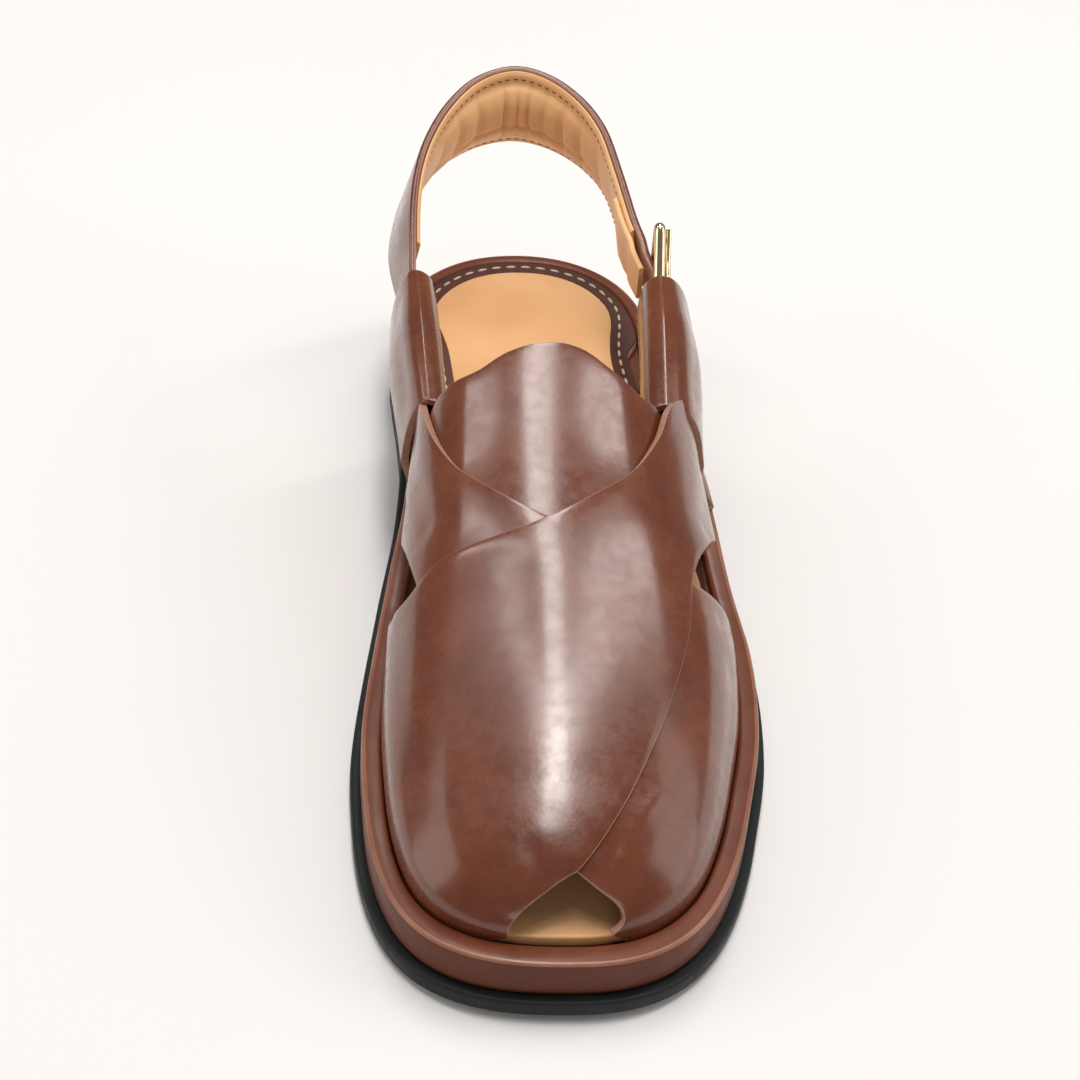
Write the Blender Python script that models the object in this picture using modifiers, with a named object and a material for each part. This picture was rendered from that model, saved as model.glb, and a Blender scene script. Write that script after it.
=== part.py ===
"""A left chappal: crossed leather straps on a rimmed platform, a padded heel strap and a bar buckle.

Metres, +Z up, toe towards -Y, the outer side of the foot towards +X, standing on the floor at z = 0.
"along" runs from 0 at the toe to 1 at the back of the sole. "across" runs over the foot's form, from 0 at
the inner foot of the upper to 1 at the outer one. "side" is -1 on the inner side of the shoe and +1 on the
outer side.
"""

import bisect
import functools
import math

import bmesh
import bpy
import numpy as np
from mathutils import Matrix, Vector

# Sole
SOLE_LENGTH = 0.290
BALL_WIDTH = 0.111
OUTSOLE_THICKNESS = 0.005
OUTSOLE_FLARE = 0.0026
OUTSOLE_ROUNDING = 0.0010
MIDSOLE_THICKNESS = 0.011
RIM_ROUNDING = 0.0012
RIM_WIDTH = 0.0056
HEEL_RIM_WIDTH = 0.0042
TOE_RIM_WIDTH = 0.0070
TRAY_DEPTH = 0.0034
INSOLE_THICKNESS = 0.0030
HEEL_LIFT = 0.012
HEEL_INSET = 0.0006
TOE_SPRING = 0.002
CLEARANCE = 0.0003

# Upper
UPPER_WALL = 0.0022
STRAP_LAP = 0.0015
INSTEP_HEIGHT = 0.066
TONGUE_WALL = 0.0018
SLEEVE_WALL = 0.0022
SLEEVE_HEIGHT = 0.042
SLEEVE_INNER_REACH = 0.0060
SLEEVE_LEAN = 0.003

# Heel strap and its lining
HEEL_STRAP_WALL = 0.0020
HEEL_STRAP_HEIGHT = 0.0265
STRAP_BACK_HEIGHT = 0.092
STRAP_SLOPE = 0.333
STRAP_LEAN = 0.0065
LINING_WALL = 0.0012
PAD_THICKNESS = 0.0055

# Buckle
BUCKLE_WIRE = 0.0033
BUCKLE_LENGTH = 0.0150
BUCKLE_HEIGHT = 0.0260
BUCKLE_FRONT_HEIGHT = 0.0165
BUCKLE_CORNER = 0.0030
PRONG_WIRE = 0.0018
TAB_WALL = 0.0008
TAB_LENGTH = 0.0075
TAB_HEIGHT = 0.0062
GUARD_WALL = 0.0016

# Mesh fineness
OUTLINE_STEPS = 72
STRAP_SECTIONS = 30
STRAP_COLUMNS = 16
STRAP_CROWDING = 1.25
SLEEVE_SECTIONS = 9
SLEEVE_COLUMNS = 18
TONGUE_SECTIONS = 14
TONGUE_COLUMNS = 8
ROD_SEGMENTS = 12
HOOK_STEPS = 5

INNER = -1
OUTER = 1
FOOT_SHARE = 0.05
TOE_ROUND = 0.28
HEEL_ROUND = 0.15
SPRING_SHARE = 0.16
ARCH_START = 0.44
ARCH_END = 0.70
HEEL_FRONT = 0.69
UPPER_END = 0.815
UPPER_END_LENGTH = 0.03
SLEEVE_ROOM_START = 0.50
SLEEVE_ROOM_LENGTH = 0.05
HEEL_RIM_START = 0.62
HEEL_RIM_LENGTH = 0.16
TOE_RIM_LENGTH = 0.10
FADE_SHARE = 0.2
TOE_POWER = 2.5
HEEL_POWER = 2.1

# Half widths of the sole on its two sides, as shares of the ball width
OUTLINE = (
    ("along", "inner", "outer"),
    (0.00, 0.540, 0.477),
    (0.10, 0.491, 0.471),
    (0.20, 0.470, 0.489),
    (0.30, 0.466, 0.528),
    (0.40, 0.438, 0.536),
    (0.50, 0.401, 0.506),
    (0.60, 0.357, 0.474),
    (0.68, 0.343, 0.434),
    (0.76, 0.350, 0.390),
    (0.85, 0.368, 0.368),
    (1.00, 0.372, 0.365),
)

# The foot's form: height as a share of the instep height, the ridge and the bulges as shares of the ball
# width, and the power of each side's curve, where a lower one stands steeper
FORM = (
    ("along", "height", "ridge", "inner bulge", "outer bulge", "inner power", "outer power"),
    (0.03, 0.080, 0.009, 0.000, 0.000, 0.60, 0.60),
    (0.05, 0.150, 0.009, 0.000, 0.000, 0.70, 0.70),
    (0.07, 0.225, 0.009, 0.005, 0.005, 0.80, 0.80),
    (0.10, 0.311, 0.009, 0.009, 0.009, 0.90, 0.90),
    (0.15, 0.409, 0.009, 0.014, 0.014, 1.00, 1.00),
    (0.20, 0.492, 0.009, 0.018, 0.014, 1.00, 1.00),
    (0.30, 0.644, 0.000, 0.020, 0.009, 0.92, 1.00),
    (0.40, 0.788, -0.009, 0.036, 0.005, 0.80, 0.97),
    (0.50, 0.894, 0.000, 0.054, 0.005, 0.68, 0.93),
    (0.60, 0.955, 0.009, 0.072, 0.009, 0.60, 0.90),
    (0.70, 1.000, 0.009, 0.072, 0.018, 0.60, 0.90),
    (0.80, 1.030, 0.009, 0.072, 0.027, 0.60, 0.90),
)

# The two edges of each strap, a row for each section from its forefoot end to its waist end
TOP_STRAP = (
    ("front along", "front across", "rear along", "rear across"),
    (0.042, 0.000, 0.405, 0.000),
    (0.040, 0.050, 0.400, 0.050),
    (0.038, 0.160, 0.375, 0.130),
    (0.045, 0.385, 0.355, 0.235),
    (0.069, 0.504, 0.364, 0.316),
    (0.126, 0.597, 0.370, 0.427),
    (0.200, 0.653, 0.386, 0.499),
    (0.291, 0.698, 0.437, 0.600),
    (0.372, 0.720, 0.501, 0.671),
    (0.430, 0.775, 0.562, 0.724),
    (0.490, 0.870, 0.630, 0.850),
    (0.530, 0.950, 0.680, 0.950),
    (0.540, 1.000, 0.690, 1.000),
)
UNDER_STRAP = (
    ("front along", "front across", "rear along", "rear across"),
    (0.042, 1.000, 0.415, 1.000),
    (0.040, 0.950, 0.410, 0.950),
    (0.038, 0.840, 0.390, 0.880),
    (0.050, 0.641, 0.373, 0.785),
    (0.069, 0.512, 0.363, 0.700),
    (0.126, 0.415, 0.370, 0.580),
    (0.200, 0.350, 0.388, 0.498),
    (0.290, 0.295, 0.442, 0.390),
    (0.363, 0.258, 0.494, 0.325),
    (0.429, 0.205, 0.575, 0.243),
    (0.490, 0.120, 0.630, 0.150),
    (0.530, 0.050, 0.680, 0.050),
    (0.540, 0.000, 0.690, 0.000),
)

# The tongue's front and rear edges
TONGUE = (
    ("across", "front along", "rear along"),
    (0.235, 0.470, 0.535),
    (0.270, 0.430, 0.553),
    (0.330, 0.380, 0.556),
    (0.410, 0.345, 0.555),
    (0.460, 0.330, 0.567),
    (0.500, 0.325, 0.575),
    (0.540, 0.330, 0.572),
    (0.600, 0.345, 0.559),
    (0.660, 0.380, 0.549),
    (0.715, 0.430, 0.550),
    (0.750, 0.470, 0.535),
)

# The sleeve's section, from its inner foot in the tray over its crest to its outer foot on the rim:
# "to crest" leads from the foot line to the crest line, "reach" is the share of the reach on that side
SLEEVE_SECTION = (
    ("to crest", "reach", "height"),
    (0.00, 0.00, -0.066),
    (0.00, 0.00, 0.00),
    (0.35, 0.30, 0.24),
    (0.80, 0.75, 0.42),
    (1.00, 0.96, 0.58),
    (1.00, 1.00, 0.78),
    (1.00, 0.82, 0.92),
    (1.00, 0.40, 0.985),
    (1.00, 0.00, 1.00),
    (1.00, 0.30, 0.975),
    (1.00, 0.62, 0.88),
    (1.00, 0.86, 0.72),
    (1.00, 0.98, 0.54),
    (0.90, 1.00, 0.38),
    (0.45, 0.55, 0.20),
    (0.03, 0.05, 0.07),
    (0.00, 0.00, 0.010),
)
CREST_SECTION = 8

# Where each sleeve runs: the crest's place across as shares of the ball width, and its height as a share
SLEEVE_RUN = (
    ("along", "inner crest", "outer crest", "inner widest", "outer widest", "height"),
    (0.572, -0.290, 0.304, -0.346, 0.410, 0.97),
    (0.620, -0.299, 0.308, -0.364, 0.416, 0.985),
    (0.680, -0.308, 0.314, -0.380, 0.424, 1.00),
    (0.745, -0.318, 0.320, -0.376, 0.412, 1.02),
)

# The top edge of the heel strap, from its end in the inner sleeve round the back to the buckle. "height" is a
# share of the heel strap's height, "lean" of its lean, "pad" of the pad's swelling, and "drop" is how far the
# edge lies under its even slope, as a share of the strap's height
HEEL_STRAP = (
    ("across", "along", "height", "lean", "pad", "drop"),
    (-0.330, 0.650, 0.48, 0.00, 0.0, 0.04),
    (-0.330, 0.700, 0.52, 0.00, 0.0, 0.05),
    (-0.322, 0.760, 0.68, 0.25, 0.0, 0.04),
    (-0.319, 0.833, 0.84, 0.95, 0.0, 0.00),
    (-0.307, 0.880, 0.93, 1.05, 0.1, 0.00),
    (-0.278, 0.922, 0.98, 1.10, 0.4, 0.00),
    (-0.225, 0.963, 1.00, 0.90, 0.8, 0.00),
    (-0.150, 0.996, 1.00, 0.40, 1.0, 0.00),
    (-0.050, 1.012, 1.00, 0.10, 1.0, 0.00),
    (0.045, 1.003, 1.00, 0.30, 1.0, 0.00),
    (0.130, 0.976, 0.99, 0.60, 0.8, 0.00),
    (0.190, 0.938, 0.95, 0.70, 0.4, 0.00),
    (0.228, 0.884, 0.86, 0.60, 0.1, 0.00),
    (0.258, 0.832, 0.66, 0.40, 0.0, 0.00),
    (0.279, 0.805, 0.46, 0.10, 0.0, 0.00),
)
HEEL_STRAP_BACK = 1.012

# Its end, which threads the buckle into the outer sleeve: "through" is 0 inside the rear bar and 1 outside
# the front one
BUCKLED_END = (
    ("through", "from bar", "height", "drop"),
    (0.00, 0.000, 0.400, 0.00),
    (0.42, -0.520, 0.385, 0.03),
    (0.86, -0.890, 0.375, 0.12),
    (1.00, -1.220, 0.360, 0.18),
    (1.00, -2.600, 0.340, 0.14),
)
STATION_STEP = 0.5
PAD_FIRST = 2.5
PAD_LAST = 13.5
GUARD_FIRST = 12.5
GUARD_LAST = 15.5

# The buckle's rear bar, and how far the frame's front lies under its rear
BUCKLE_ACROSS = 0.315
BUCKLE_ALONG = 0.787
BUCKLE_RAISE = 0.0120
BUCKLE_DROP = 0.0185
PRONG_REST = 0.14
HOOK_START = 1.3
TAB_STEPS = 8
SLOT_RISE = 2.2


def column(table, name):
    """The values of one column of a table. A table's first row holds the names of its columns."""
    return [row[table[0].index(name)] for row in table[1:]]


@functools.lru_cache(maxsize=None)
def curve(table, name):
    """A column's values, the places of its rows from the table's first column, and its slopes there."""
    places = column(table, table[0][0])
    values = column(table, name)
    return places, values, list(np.gradient(values, places))


def blend(table, name, place):
    """A column of a table at a place between its rows, on a smooth curve through them."""
    places, values, slopes = curve(table, name)
    place = min(max(place, places[0]), places[-1])
    row = min(bisect.bisect_right(places, place) - 1, len(places) - 2)
    step = places[row + 1] - places[row]
    u = (place - places[row]) / step
    rise = u * u * (3 - 2 * u)
    start = u * (1 - u) ** 2 * step * slopes[row]
    end = u * u * (u - 1) * step * slopes[row + 1]
    return float(values[row] + (values[row + 1] - values[row]) * rise + start + end)


@functools.lru_cache(maxsize=None)
def numbered(table):
    """The same table with the number of each row as its first column, so that it can be read by section."""
    return (("section", *table[0]), *((index, *row) for index, row in enumerate(table[1:])))


def side_name(side):
    return "inner" if side == INNER else "outer"


def ease(value):
    value = min(max(value, 0.0), 1.0)
    return value * value * (3 - 2 * value)


def mix(a, b, share):
    return a + (b - a) * share


def end_round(distance, reach, power):
    """From 0 at the end of an outline to 1 where its round end meets the side."""
    if distance >= reach:
        return 1.0
    return (1 - (1 - max(distance, 0.0) / reach) ** power) ** (1 / power)


def y_of(along):
    return (along - 0.5) * SOLE_LENGTH


def along_of(y):
    return y / SOLE_LENGTH + 0.5


def half_width(along, side):
    full = blend(OUTLINE, side_name(side), along) * BALL_WIDTH
    return full * end_round(along, TOE_ROUND, TOE_POWER) * end_round(1 - along, HEEL_ROUND, HEEL_POWER)


def outline_point(turn):
    """A point of the sole's outline: turn is 0 at the toe, pi at the back, negative on the inner side."""
    side = INNER if math.sin(turn) < 0 else OUTER
    along = (1 - math.cos(turn)) / 2
    return Vector((side * half_width(along, side), y_of(along)))


def edge_point(turn, inset):
    """A point of the outline moved in by inset, square to the outline."""
    small = 0.001
    direction = (outline_point(turn + small) - outline_point(turn - small)).normalized()
    return outline_point(turn) + Vector((-direction.y, direction.x)) * inset


def edge_x(along, side, inset):
    """Where the outline moved in by inset lies across, at a place along."""
    turns = np.linspace(0.02, math.pi - 0.02, 120) * side
    points = [edge_point(turn, inset) for turn in turns]
    return float(np.interp(y_of(along), [p.y for p in points], [p.x for p in points]))


def underside(along):
    """Height of the outsole's underside: toe spring, flat forefoot, arch and heel."""
    spring = TOE_SPRING * max(1 - along / SPRING_SHARE, 0.0) ** 2
    return spring + HEEL_LIFT * ease((along - ARCH_START) / (ARCH_END - ARCH_START))


def rim_height(along):
    return underside(along) + OUTSOLE_THICKNESS + MIDSOLE_THICKNESS


def rim_width(along):
    toe = TOE_RIM_WIDTH - RIM_WIDTH
    heel_share = ease((along - HEEL_RIM_START) / HEEL_RIM_LENGTH)
    return mix(RIM_WIDTH, HEEL_RIM_WIDTH, heel_share) + toe * ease(1 - along / TOE_RIM_LENGTH)


def groove_inset(along):
    """The inset of the tray's wall, where the upper's outer face stands."""
    return OUTSOLE_FLARE + rim_width(along)


def insole_inset(along):
    """The insole leaves room for the upper's foot, and for the sleeve's inner leg at the waist."""
    behind = 1 - ease((along - UPPER_END) / UPPER_END_LENGTH)
    upper_room = (UPPER_WALL + CLEARANCE) * behind
    sleeve_room = STRAP_LAP * ease((along - SLEEVE_ROOM_START) / SLEEVE_ROOM_LENGTH) * behind
    return groove_inset(along) + CLEARANCE + upper_room + sleeve_room


class Groove:
    """The line that the upper's outer face follows on each side, worked out once."""

    lines = {}

    @classmethod
    def x(cls, along, side):
        if side not in cls.lines:
            turns = np.linspace(0.02, math.pi - 0.02, 200) * side
            insets = [groove_inset((1 - math.cos(turn)) / 2) + CLEARANCE for turn in turns]
            points = [edge_point(turn, inset) for turn, inset in zip(turns, insets)]
            cls.lines[side] = ([p.y for p in points], [p.x for p in points])
        ys, xs = cls.lines[side]
        return float(np.interp(y_of(along), ys, xs))


def skin_point(along, across):
    """A point on the outside of the upper's form."""
    side = INNER if across < 0.5 else OUTER
    rise = min(across, 1 - across)
    foot = Groove.x(along, side)
    rim = rim_height(along)
    if rise < FOOT_SHARE:
        return Vector((foot, y_of(along), rim - (TRAY_DEPTH - CLEARANCE) * (1 - rise / FOOT_SHARE)))
    turn = (rise - FOOT_SHARE) / (0.5 - FOOT_SHARE) * math.pi / 2
    height = blend(FORM, "height", along) * INSTEP_HEIGHT
    ridge = blend(FORM, "ridge", along) * BALL_WIDTH
    bulge = blend(FORM, side_name(side) + " bulge", along) * BALL_WIDTH
    power = blend(FORM, side_name(side) + " power", along)
    reach = abs(foot - ridge) * max(math.cos(turn), 0.0) ** power
    return Vector(
        (ridge + side * (reach + bulge * math.sin(2 * turn)), y_of(along), rim + height * math.sin(turn))
    )


def skin_normal(along, across):
    small = 0.004
    back = skin_point(along + small, across) - skin_point(along - small, across)
    over = skin_point(along, min(across + small, 1)) - skin_point(along, max(across - small, 0))
    return over.cross(back).normalized()


def skin(along, across, offset):
    """A point at a distance outwards from the form. The offset fades out at the upper's feet."""
    fade = ease(min(across, 1 - across) / FADE_SHARE)
    return skin_point(along, across) + skin_normal(along, across) * offset * fade


def new_object(name, bm, material, collection):
    bmesh.ops.recalc_face_normals(bm, faces=bm.faces)
    mesh = bpy.data.meshes.new(name)
    bm.to_mesh(mesh)
    bm.free()
    mesh.shade_smooth()
    mesh.set_sharp_from_angle(angle=math.radians(35))
    obj = bpy.data.objects.new(name, mesh)
    mesh.materials.append(material)
    collection.objects.link(obj)
    return obj


def leather_material(name, color, roughness, metallic=0.0):
    material = bpy.data.materials.new(name)
    material.use_nodes = True
    shader = material.node_tree.nodes["Principled BSDF"]
    shader.inputs["Base Color"].default_value = (*color, 1)
    shader.inputs["Roughness"].default_value = roughness
    shader.inputs["Metallic"].default_value = metallic
    material.diffuse_color = (*color, 1)
    return material


def slab(name, rings, material, collection):
    """A solid from rings round the sole's outline. Each ring is (inset of along, height of along)."""
    bm = bmesh.new()
    loops = []
    for inset, height in rings:
        loop = []
        for index in range(OUTLINE_STEPS):
            turn = -math.pi + 2 * math.pi * (index + 0.5) / OUTLINE_STEPS
            along = (1 - math.cos(turn)) / 2
            flat = edge_point(turn, inset(along))
            loop.append(bm.verts.new((flat.x, flat.y, height(along_of(flat.y)))))
        loops.append(loop)
    for low, high in zip(loops, loops[1:]):
        for index in range(OUTLINE_STEPS):
            after = (index + 1) % OUTLINE_STEPS
            bm.faces.new((low[index], low[after], high[after], high[index]))
    for loop in (loops[0], loops[-1]):
        for index in range(OUTLINE_STEPS // 2 - 1):
            last = OUTLINE_STEPS - 1
            bm.faces.new((loop[index], loop[index + 1], loop[last - index - 1], loop[last - index]))
    return new_object(name, bm, material, collection)


def at(value):
    """A constant, in the form that a ring's inset takes."""
    return lambda along: value


def make_outsole(material, collection):
    def top(along):
        return underside(along) + OUTSOLE_THICKNESS - CLEARANCE

    rings = (
        (at(OUTSOLE_ROUNDING), underside),
        (at(0.0), lambda along: underside(along) + OUTSOLE_ROUNDING),
        (at(0.0), lambda along: top(along) - OUTSOLE_ROUNDING),
        (at(OUTSOLE_ROUNDING), top),
    )
    return slab("outsole", rings, material, collection)


def make_midsole(material, collection):
    def bottom(along):
        return underside(along) + OUTSOLE_THICKNESS

    def inner_corner(along):
        return groove_inset(along) - RIM_ROUNDING

    rings = (
        (at(OUTSOLE_FLARE), bottom),
        (at(OUTSOLE_FLARE), lambda along: rim_height(along) - RIM_ROUNDING),
        (at(OUTSOLE_FLARE + RIM_ROUNDING), rim_height),
        (inner_corner, rim_height),
        (groove_inset, lambda along: rim_height(along) - RIM_ROUNDING),
        (groove_inset, lambda along: rim_height(along) - TRAY_DEPTH),
    )
    return slab("midsole", rings, material, collection)


def make_insole(material, collection):
    def bottom(along):
        return rim_height(along) - TRAY_DEPTH + CLEARANCE

    def top(along):
        return bottom(along) + INSOLE_THICKNESS

    rounding = INSOLE_THICKNESS / 4
    rings = (
        (insole_inset, bottom),
        (insole_inset, lambda along: top(along) - rounding),
        (lambda along: insole_inset(along) + rounding, top),
    )
    return slab("insole", rings, material, collection)


def make_heel(material, collection):
    """The lift under the rear, from its breast to the back of the sole."""
    bm = bmesh.new()
    steps = OUTLINE_STEPS // 3
    first = math.acos(1 - 2 * HEEL_FRONT)
    loops = []
    for height in (lambda along: 0.0, lambda along: underside(along) - CLEARANCE):
        loop = []
        for index in range(steps + 1):
            turn = mix(first, 2 * math.pi - first, index / steps)
            flat = edge_point(turn, HEEL_INSET)
            loop.append(bm.verts.new((flat.x, flat.y, height(along_of(flat.y)))))
        loops.append(loop)
    low, high = loops
    for index in range(steps + 1):
        after = (index + 1) % (steps + 1)
        bm.faces.new((low[index], low[after], high[after], high[index]))
    for loop in loops:
        for index in range(steps // 2):
            corners = (loop[index], loop[index + 1], loop[steps - index - 1], loop[steps - index])
            bm.faces.new(tuple(dict.fromkeys(corners)))
    return new_object("heel", bm, material, collection)


def grid_object(name, points, material, collection):
    """An open sheet through rows of points."""
    bm = bmesh.new()
    rows = [[bm.verts.new(point) for point in row] for row in points]
    for row, after in zip(rows, rows[1:]):
        for index in range(len(row) - 1):
            bm.faces.new((row[index], row[index + 1], after[index + 1], after[index]))
    mesh = bpy.data.meshes.new(name)
    bm.to_mesh(mesh)
    bm.free()
    mesh.shade_smooth()
    mesh.materials.append(material)
    obj = bpy.data.objects.new(name, mesh)
    collection.objects.link(obj)
    return obj


def thicken(obj, wall):
    """Gives a sheet its wall, on the side away from its face normals."""
    modifier = obj.modifiers.new("wall", "SOLIDIFY")
    modifier.thickness = wall
    modifier.offset = -1
    modifier.use_even_offset = True
    return obj


def strap_point(table, section, share, offset):
    """A point of a strap: section runs along it over its table's rows, share from its front to its rear."""
    sections = numbered(table)
    across = mix(blend(sections, "front across", section), blend(sections, "rear across", section), share)
    along = mix(blend(sections, "front along", section), blend(sections, "rear along", section), share)
    return skin(along, min(max(across, 0.0), 1.0), offset)


def strap_grid(table, offset):
    """Rows of points over a strap. Its feet in the tray are one section each."""
    last = len(table) - 2
    places = [0, *np.linspace(1, last - 1, STRAP_SECTIONS), last]
    shares = [(step / STRAP_COLUMNS) ** STRAP_CROWDING for step in range(STRAP_COLUMNS + 1)]
    return [[strap_point(table, place, share, offset) for share in shares] for place in places]


def sleeve_point(side, along, place):
    """A point on a sleeve's outer face: place runs over its section, from the inner foot over the crest."""
    section = numbered(SLEEVE_SECTION)
    to_crest = blend(section, "to crest", place)
    reach = blend(section, "reach", place)
    height = blend(section, "height", place)
    along += SLEEVE_LEAN / SOLE_LENGTH * (1 - height)
    crest = blend(SLEEVE_RUN, side_name(side) + " crest", along) * BALL_WIDTH
    widest = blend(SLEEVE_RUN, side_name(side) + " widest", along) * BALL_WIDTH
    top = blend(SLEEVE_RUN, "height", along) * SLEEVE_HEIGHT
    if place <= CREST_SECTION:
        foot = Groove.x(along, side) - side * (STRAP_LAP + SLEEVE_WALL)
        bulge = crest - side * SLEEVE_INNER_REACH * reach
    else:
        foot = edge_x(along, side, OUTSOLE_FLARE) - side * CLEARANCE
        bulge = mix(crest, widest, reach)
    return Vector((mix(foot, bulge, to_crest), y_of(along), rim_height(along) + top * height))


def sleeve_grid(side):
    """Rows from the front opening to the rear one. Both openings lean back towards the feet."""
    first, *_, last = column(SLEEVE_RUN, "along")
    places = [0, *np.linspace(1, len(SLEEVE_SECTION) - 2, SLEEVE_COLUMNS)]
    rows = []
    for index in range(SLEEVE_SECTIONS + 1):
        along = mix(first, last, index / SLEEVE_SECTIONS)
        rows.append([sleeve_point(side, along, place) for place in places])
    return rows


def face_up(obj):
    """Turns a sheet's faces so that its highest one looks up, and the others outwards with it."""
    bm = bmesh.new()
    bm.from_mesh(obj.data)
    bm.faces.ensure_lookup_table()
    bm.normal_update()
    top = max(bm.faces, key=lambda face: face.calc_center_median().z)
    if top.normal.z < 0:
        bmesh.ops.reverse_faces(bm, faces=bm.faces)
    bm.to_mesh(obj.data)
    bm.free()
    return obj


def combine(obj, other, operation):
    modifier = obj.modifiers.new(other.name, "BOOLEAN")
    modifier.operation = operation
    modifier.object = other
    other.hide_render = True
    other.display_type = "WIRE"


def join_to(obj, other):
    combine(obj, other, "UNION")


def cut_by(obj, other):
    combine(obj, other, "DIFFERENCE")


def rod(name, start, end, radius, material, collection):
    """A round rod between two points."""
    bm = bmesh.new()
    bmesh.ops.create_cone(
        bm, cap_ends=True, segments=ROD_SEGMENTS, radius1=radius, radius2=radius, depth=(end - start).length
    )
    turn = (end - start).to_track_quat("Z", "Y").to_matrix().to_4x4()
    bmesh.ops.transform(bm, matrix=Matrix.Translation((start + end) / 2) @ turn, verts=bm.verts)
    return new_object(name, bm, material, collection)


def block(name, low, high, material, collection):
    """A block between its low and its high corner."""
    bm = bmesh.new()
    size = Matrix.Diagonal((*(high - low), 1))
    bmesh.ops.create_cube(bm, size=1.0, matrix=Matrix.Translation((low + high) / 2) @ size)
    return new_object(name, bm, material, collection)


def make_upper(material, collection, cutters):
    under = grid_object("upper", strap_grid(UNDER_STRAP, 0.0), material, collection)
    thicken(face_up(under), UPPER_WALL)
    top = grid_object("top_strap", strap_grid(TOP_STRAP, STRAP_LAP), material, cutters)
    thicken(face_up(top), UPPER_WALL)
    join_to(under, top)
    for side, name in ((INNER, "inner_sleeve"), (OUTER, "outer_sleeve")):
        sleeve = grid_object(name, sleeve_grid(side), material, cutters)
        thicken(face_up(sleeve), SLEEVE_WALL)
        join_to(under, sleeve)
    return under


def make_tongue(material, collection):
    rows = []
    first, *_, last = column(TONGUE, "across")
    for index in range(TONGUE_SECTIONS + 1):
        across = mix(first, last, index / TONGUE_SECTIONS)
        front = blend(TONGUE, "front along", across)
        rear = blend(TONGUE, "rear along", across)
        row = []
        for step in range(TONGUE_COLUMNS + 1):
            along = mix(front, rear, step / TONGUE_COLUMNS)
            row.append(skin(along, across, -UPPER_WALL - CLEARANCE))
        rows.append(row)
    tongue = grid_object("tongue", rows, material, collection)
    return thicken(face_up(tongue), TONGUE_WALL)


def strap_slope_height(y):
    """The height of the heel strap's top edge, which rises evenly to the back."""
    return STRAP_BACK_HEIGHT - STRAP_SLOPE * (y_of(HEEL_STRAP_BACK) - y)


def buckle_x():
    return BUCKLE_ACROSS * BALL_WIDTH


@functools.lru_cache(maxsize=None)
def heel_strap_table():
    """The whole of the heel strap in metres, with the end that threads the buckle."""
    rows = [("station", "x", "y", "height", "lean", "pad", "drop")]
    for across, along, height, lean, pad, drop in HEEL_STRAP[1:]:
        rows.append((across * BALL_WIDTH, y_of(along), height, lean, pad, drop))
    inside = buckle_x() - (BUCKLE_WIRE + HEEL_STRAP_WALL) / 2 - CLEARANCE
    outside = buckle_x() + (BUCKLE_WIRE + HEEL_STRAP_WALL) / 2 + PRONG_WIRE + 2 * CLEARANCE
    for through, from_bar, height, drop in BUCKLED_END[1:]:
        x = mix(inside, outside, through)
        y = y_of(BUCKLE_ALONG) + from_bar * BUCKLE_LENGTH
        rows.append((x, y, height, 0, 0, drop))
    return (rows[0], *((station, *row) for station, row in enumerate(rows[1:])))


def strap_frame(place):
    """Where the heel strap's middle surface runs: top point, directions down and outwards, height and pad."""
    rows = heel_strap_table()
    small = 0.01

    def top(spot):
        y = blend(rows, "y", spot)
        height = strap_slope_height(y) - blend(rows, "drop", spot) * HEEL_STRAP_HEIGHT
        return Vector((blend(rows, "x", spot), y, height))

    point = top(place)
    onwards = (top(place + small) - top(place - small)).normalized()
    outwards = Vector((-onwards.y, onwards.x, 0)).normalized()
    height = blend(rows, "height", place) * HEEL_STRAP_HEIGHT
    lean = blend(rows, "lean", place) * STRAP_LEAN
    downwards = (Vector((0, 0, -height)) + outwards * lean).normalized()
    return point, downwards, onwards.cross(downwards).normalized(), height, blend(rows, "pad", place)


def ribbon(name, first, last, profile, material, collection):
    """A closed loft along the heel strap. The profile gives (share of height, distance out) by station."""
    bm = bmesh.new()
    loops = []
    for place in np.arange(first, last + STATION_STEP / 2, STATION_STEP):
        point, downwards, outwards, height, pad = strap_frame(place)
        section = profile(place, pad)
        loops.append([bm.verts.new(point + downwards * height * a + outwards * b) for a, b in section])
    count = len(loops[0])
    for loop, after in zip(loops, loops[1:]):
        for index in range(count):
            onwards = (index + 1) % count
            bm.faces.new((loop[index], loop[onwards], after[onwards], after[index]))
    bm.faces.new(loops[0])
    bm.faces.new(loops[-1])
    return new_object(name, bm, material, collection)


def make_heel_strap(material, collection, cutters):
    half = HEEL_STRAP_WALL / 2
    edge = HEEL_STRAP_WALL / 4

    def profile(place, pad):
        trim = edge / HEEL_STRAP_HEIGHT
        return (
            (0.0, -half + edge),
            (0.0, half - edge),
            (trim, half),
            (1 - trim, half),
            (1.0, half - edge),
            (1.0, -half + edge),
            (1 - trim, -half),
            (trim, -half),
        )

    last = len(heel_strap_table()) - 2
    strap = ribbon("heel_strap", 0, last, profile, material, collection)
    start, end = prong_ends()
    hole = rod("prong_hole", start - (end - start) / 4, end, PRONG_WIRE / 2 + CLEARANCE, material, cutters)
    cut_by(strap, hole)
    return strap


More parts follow.
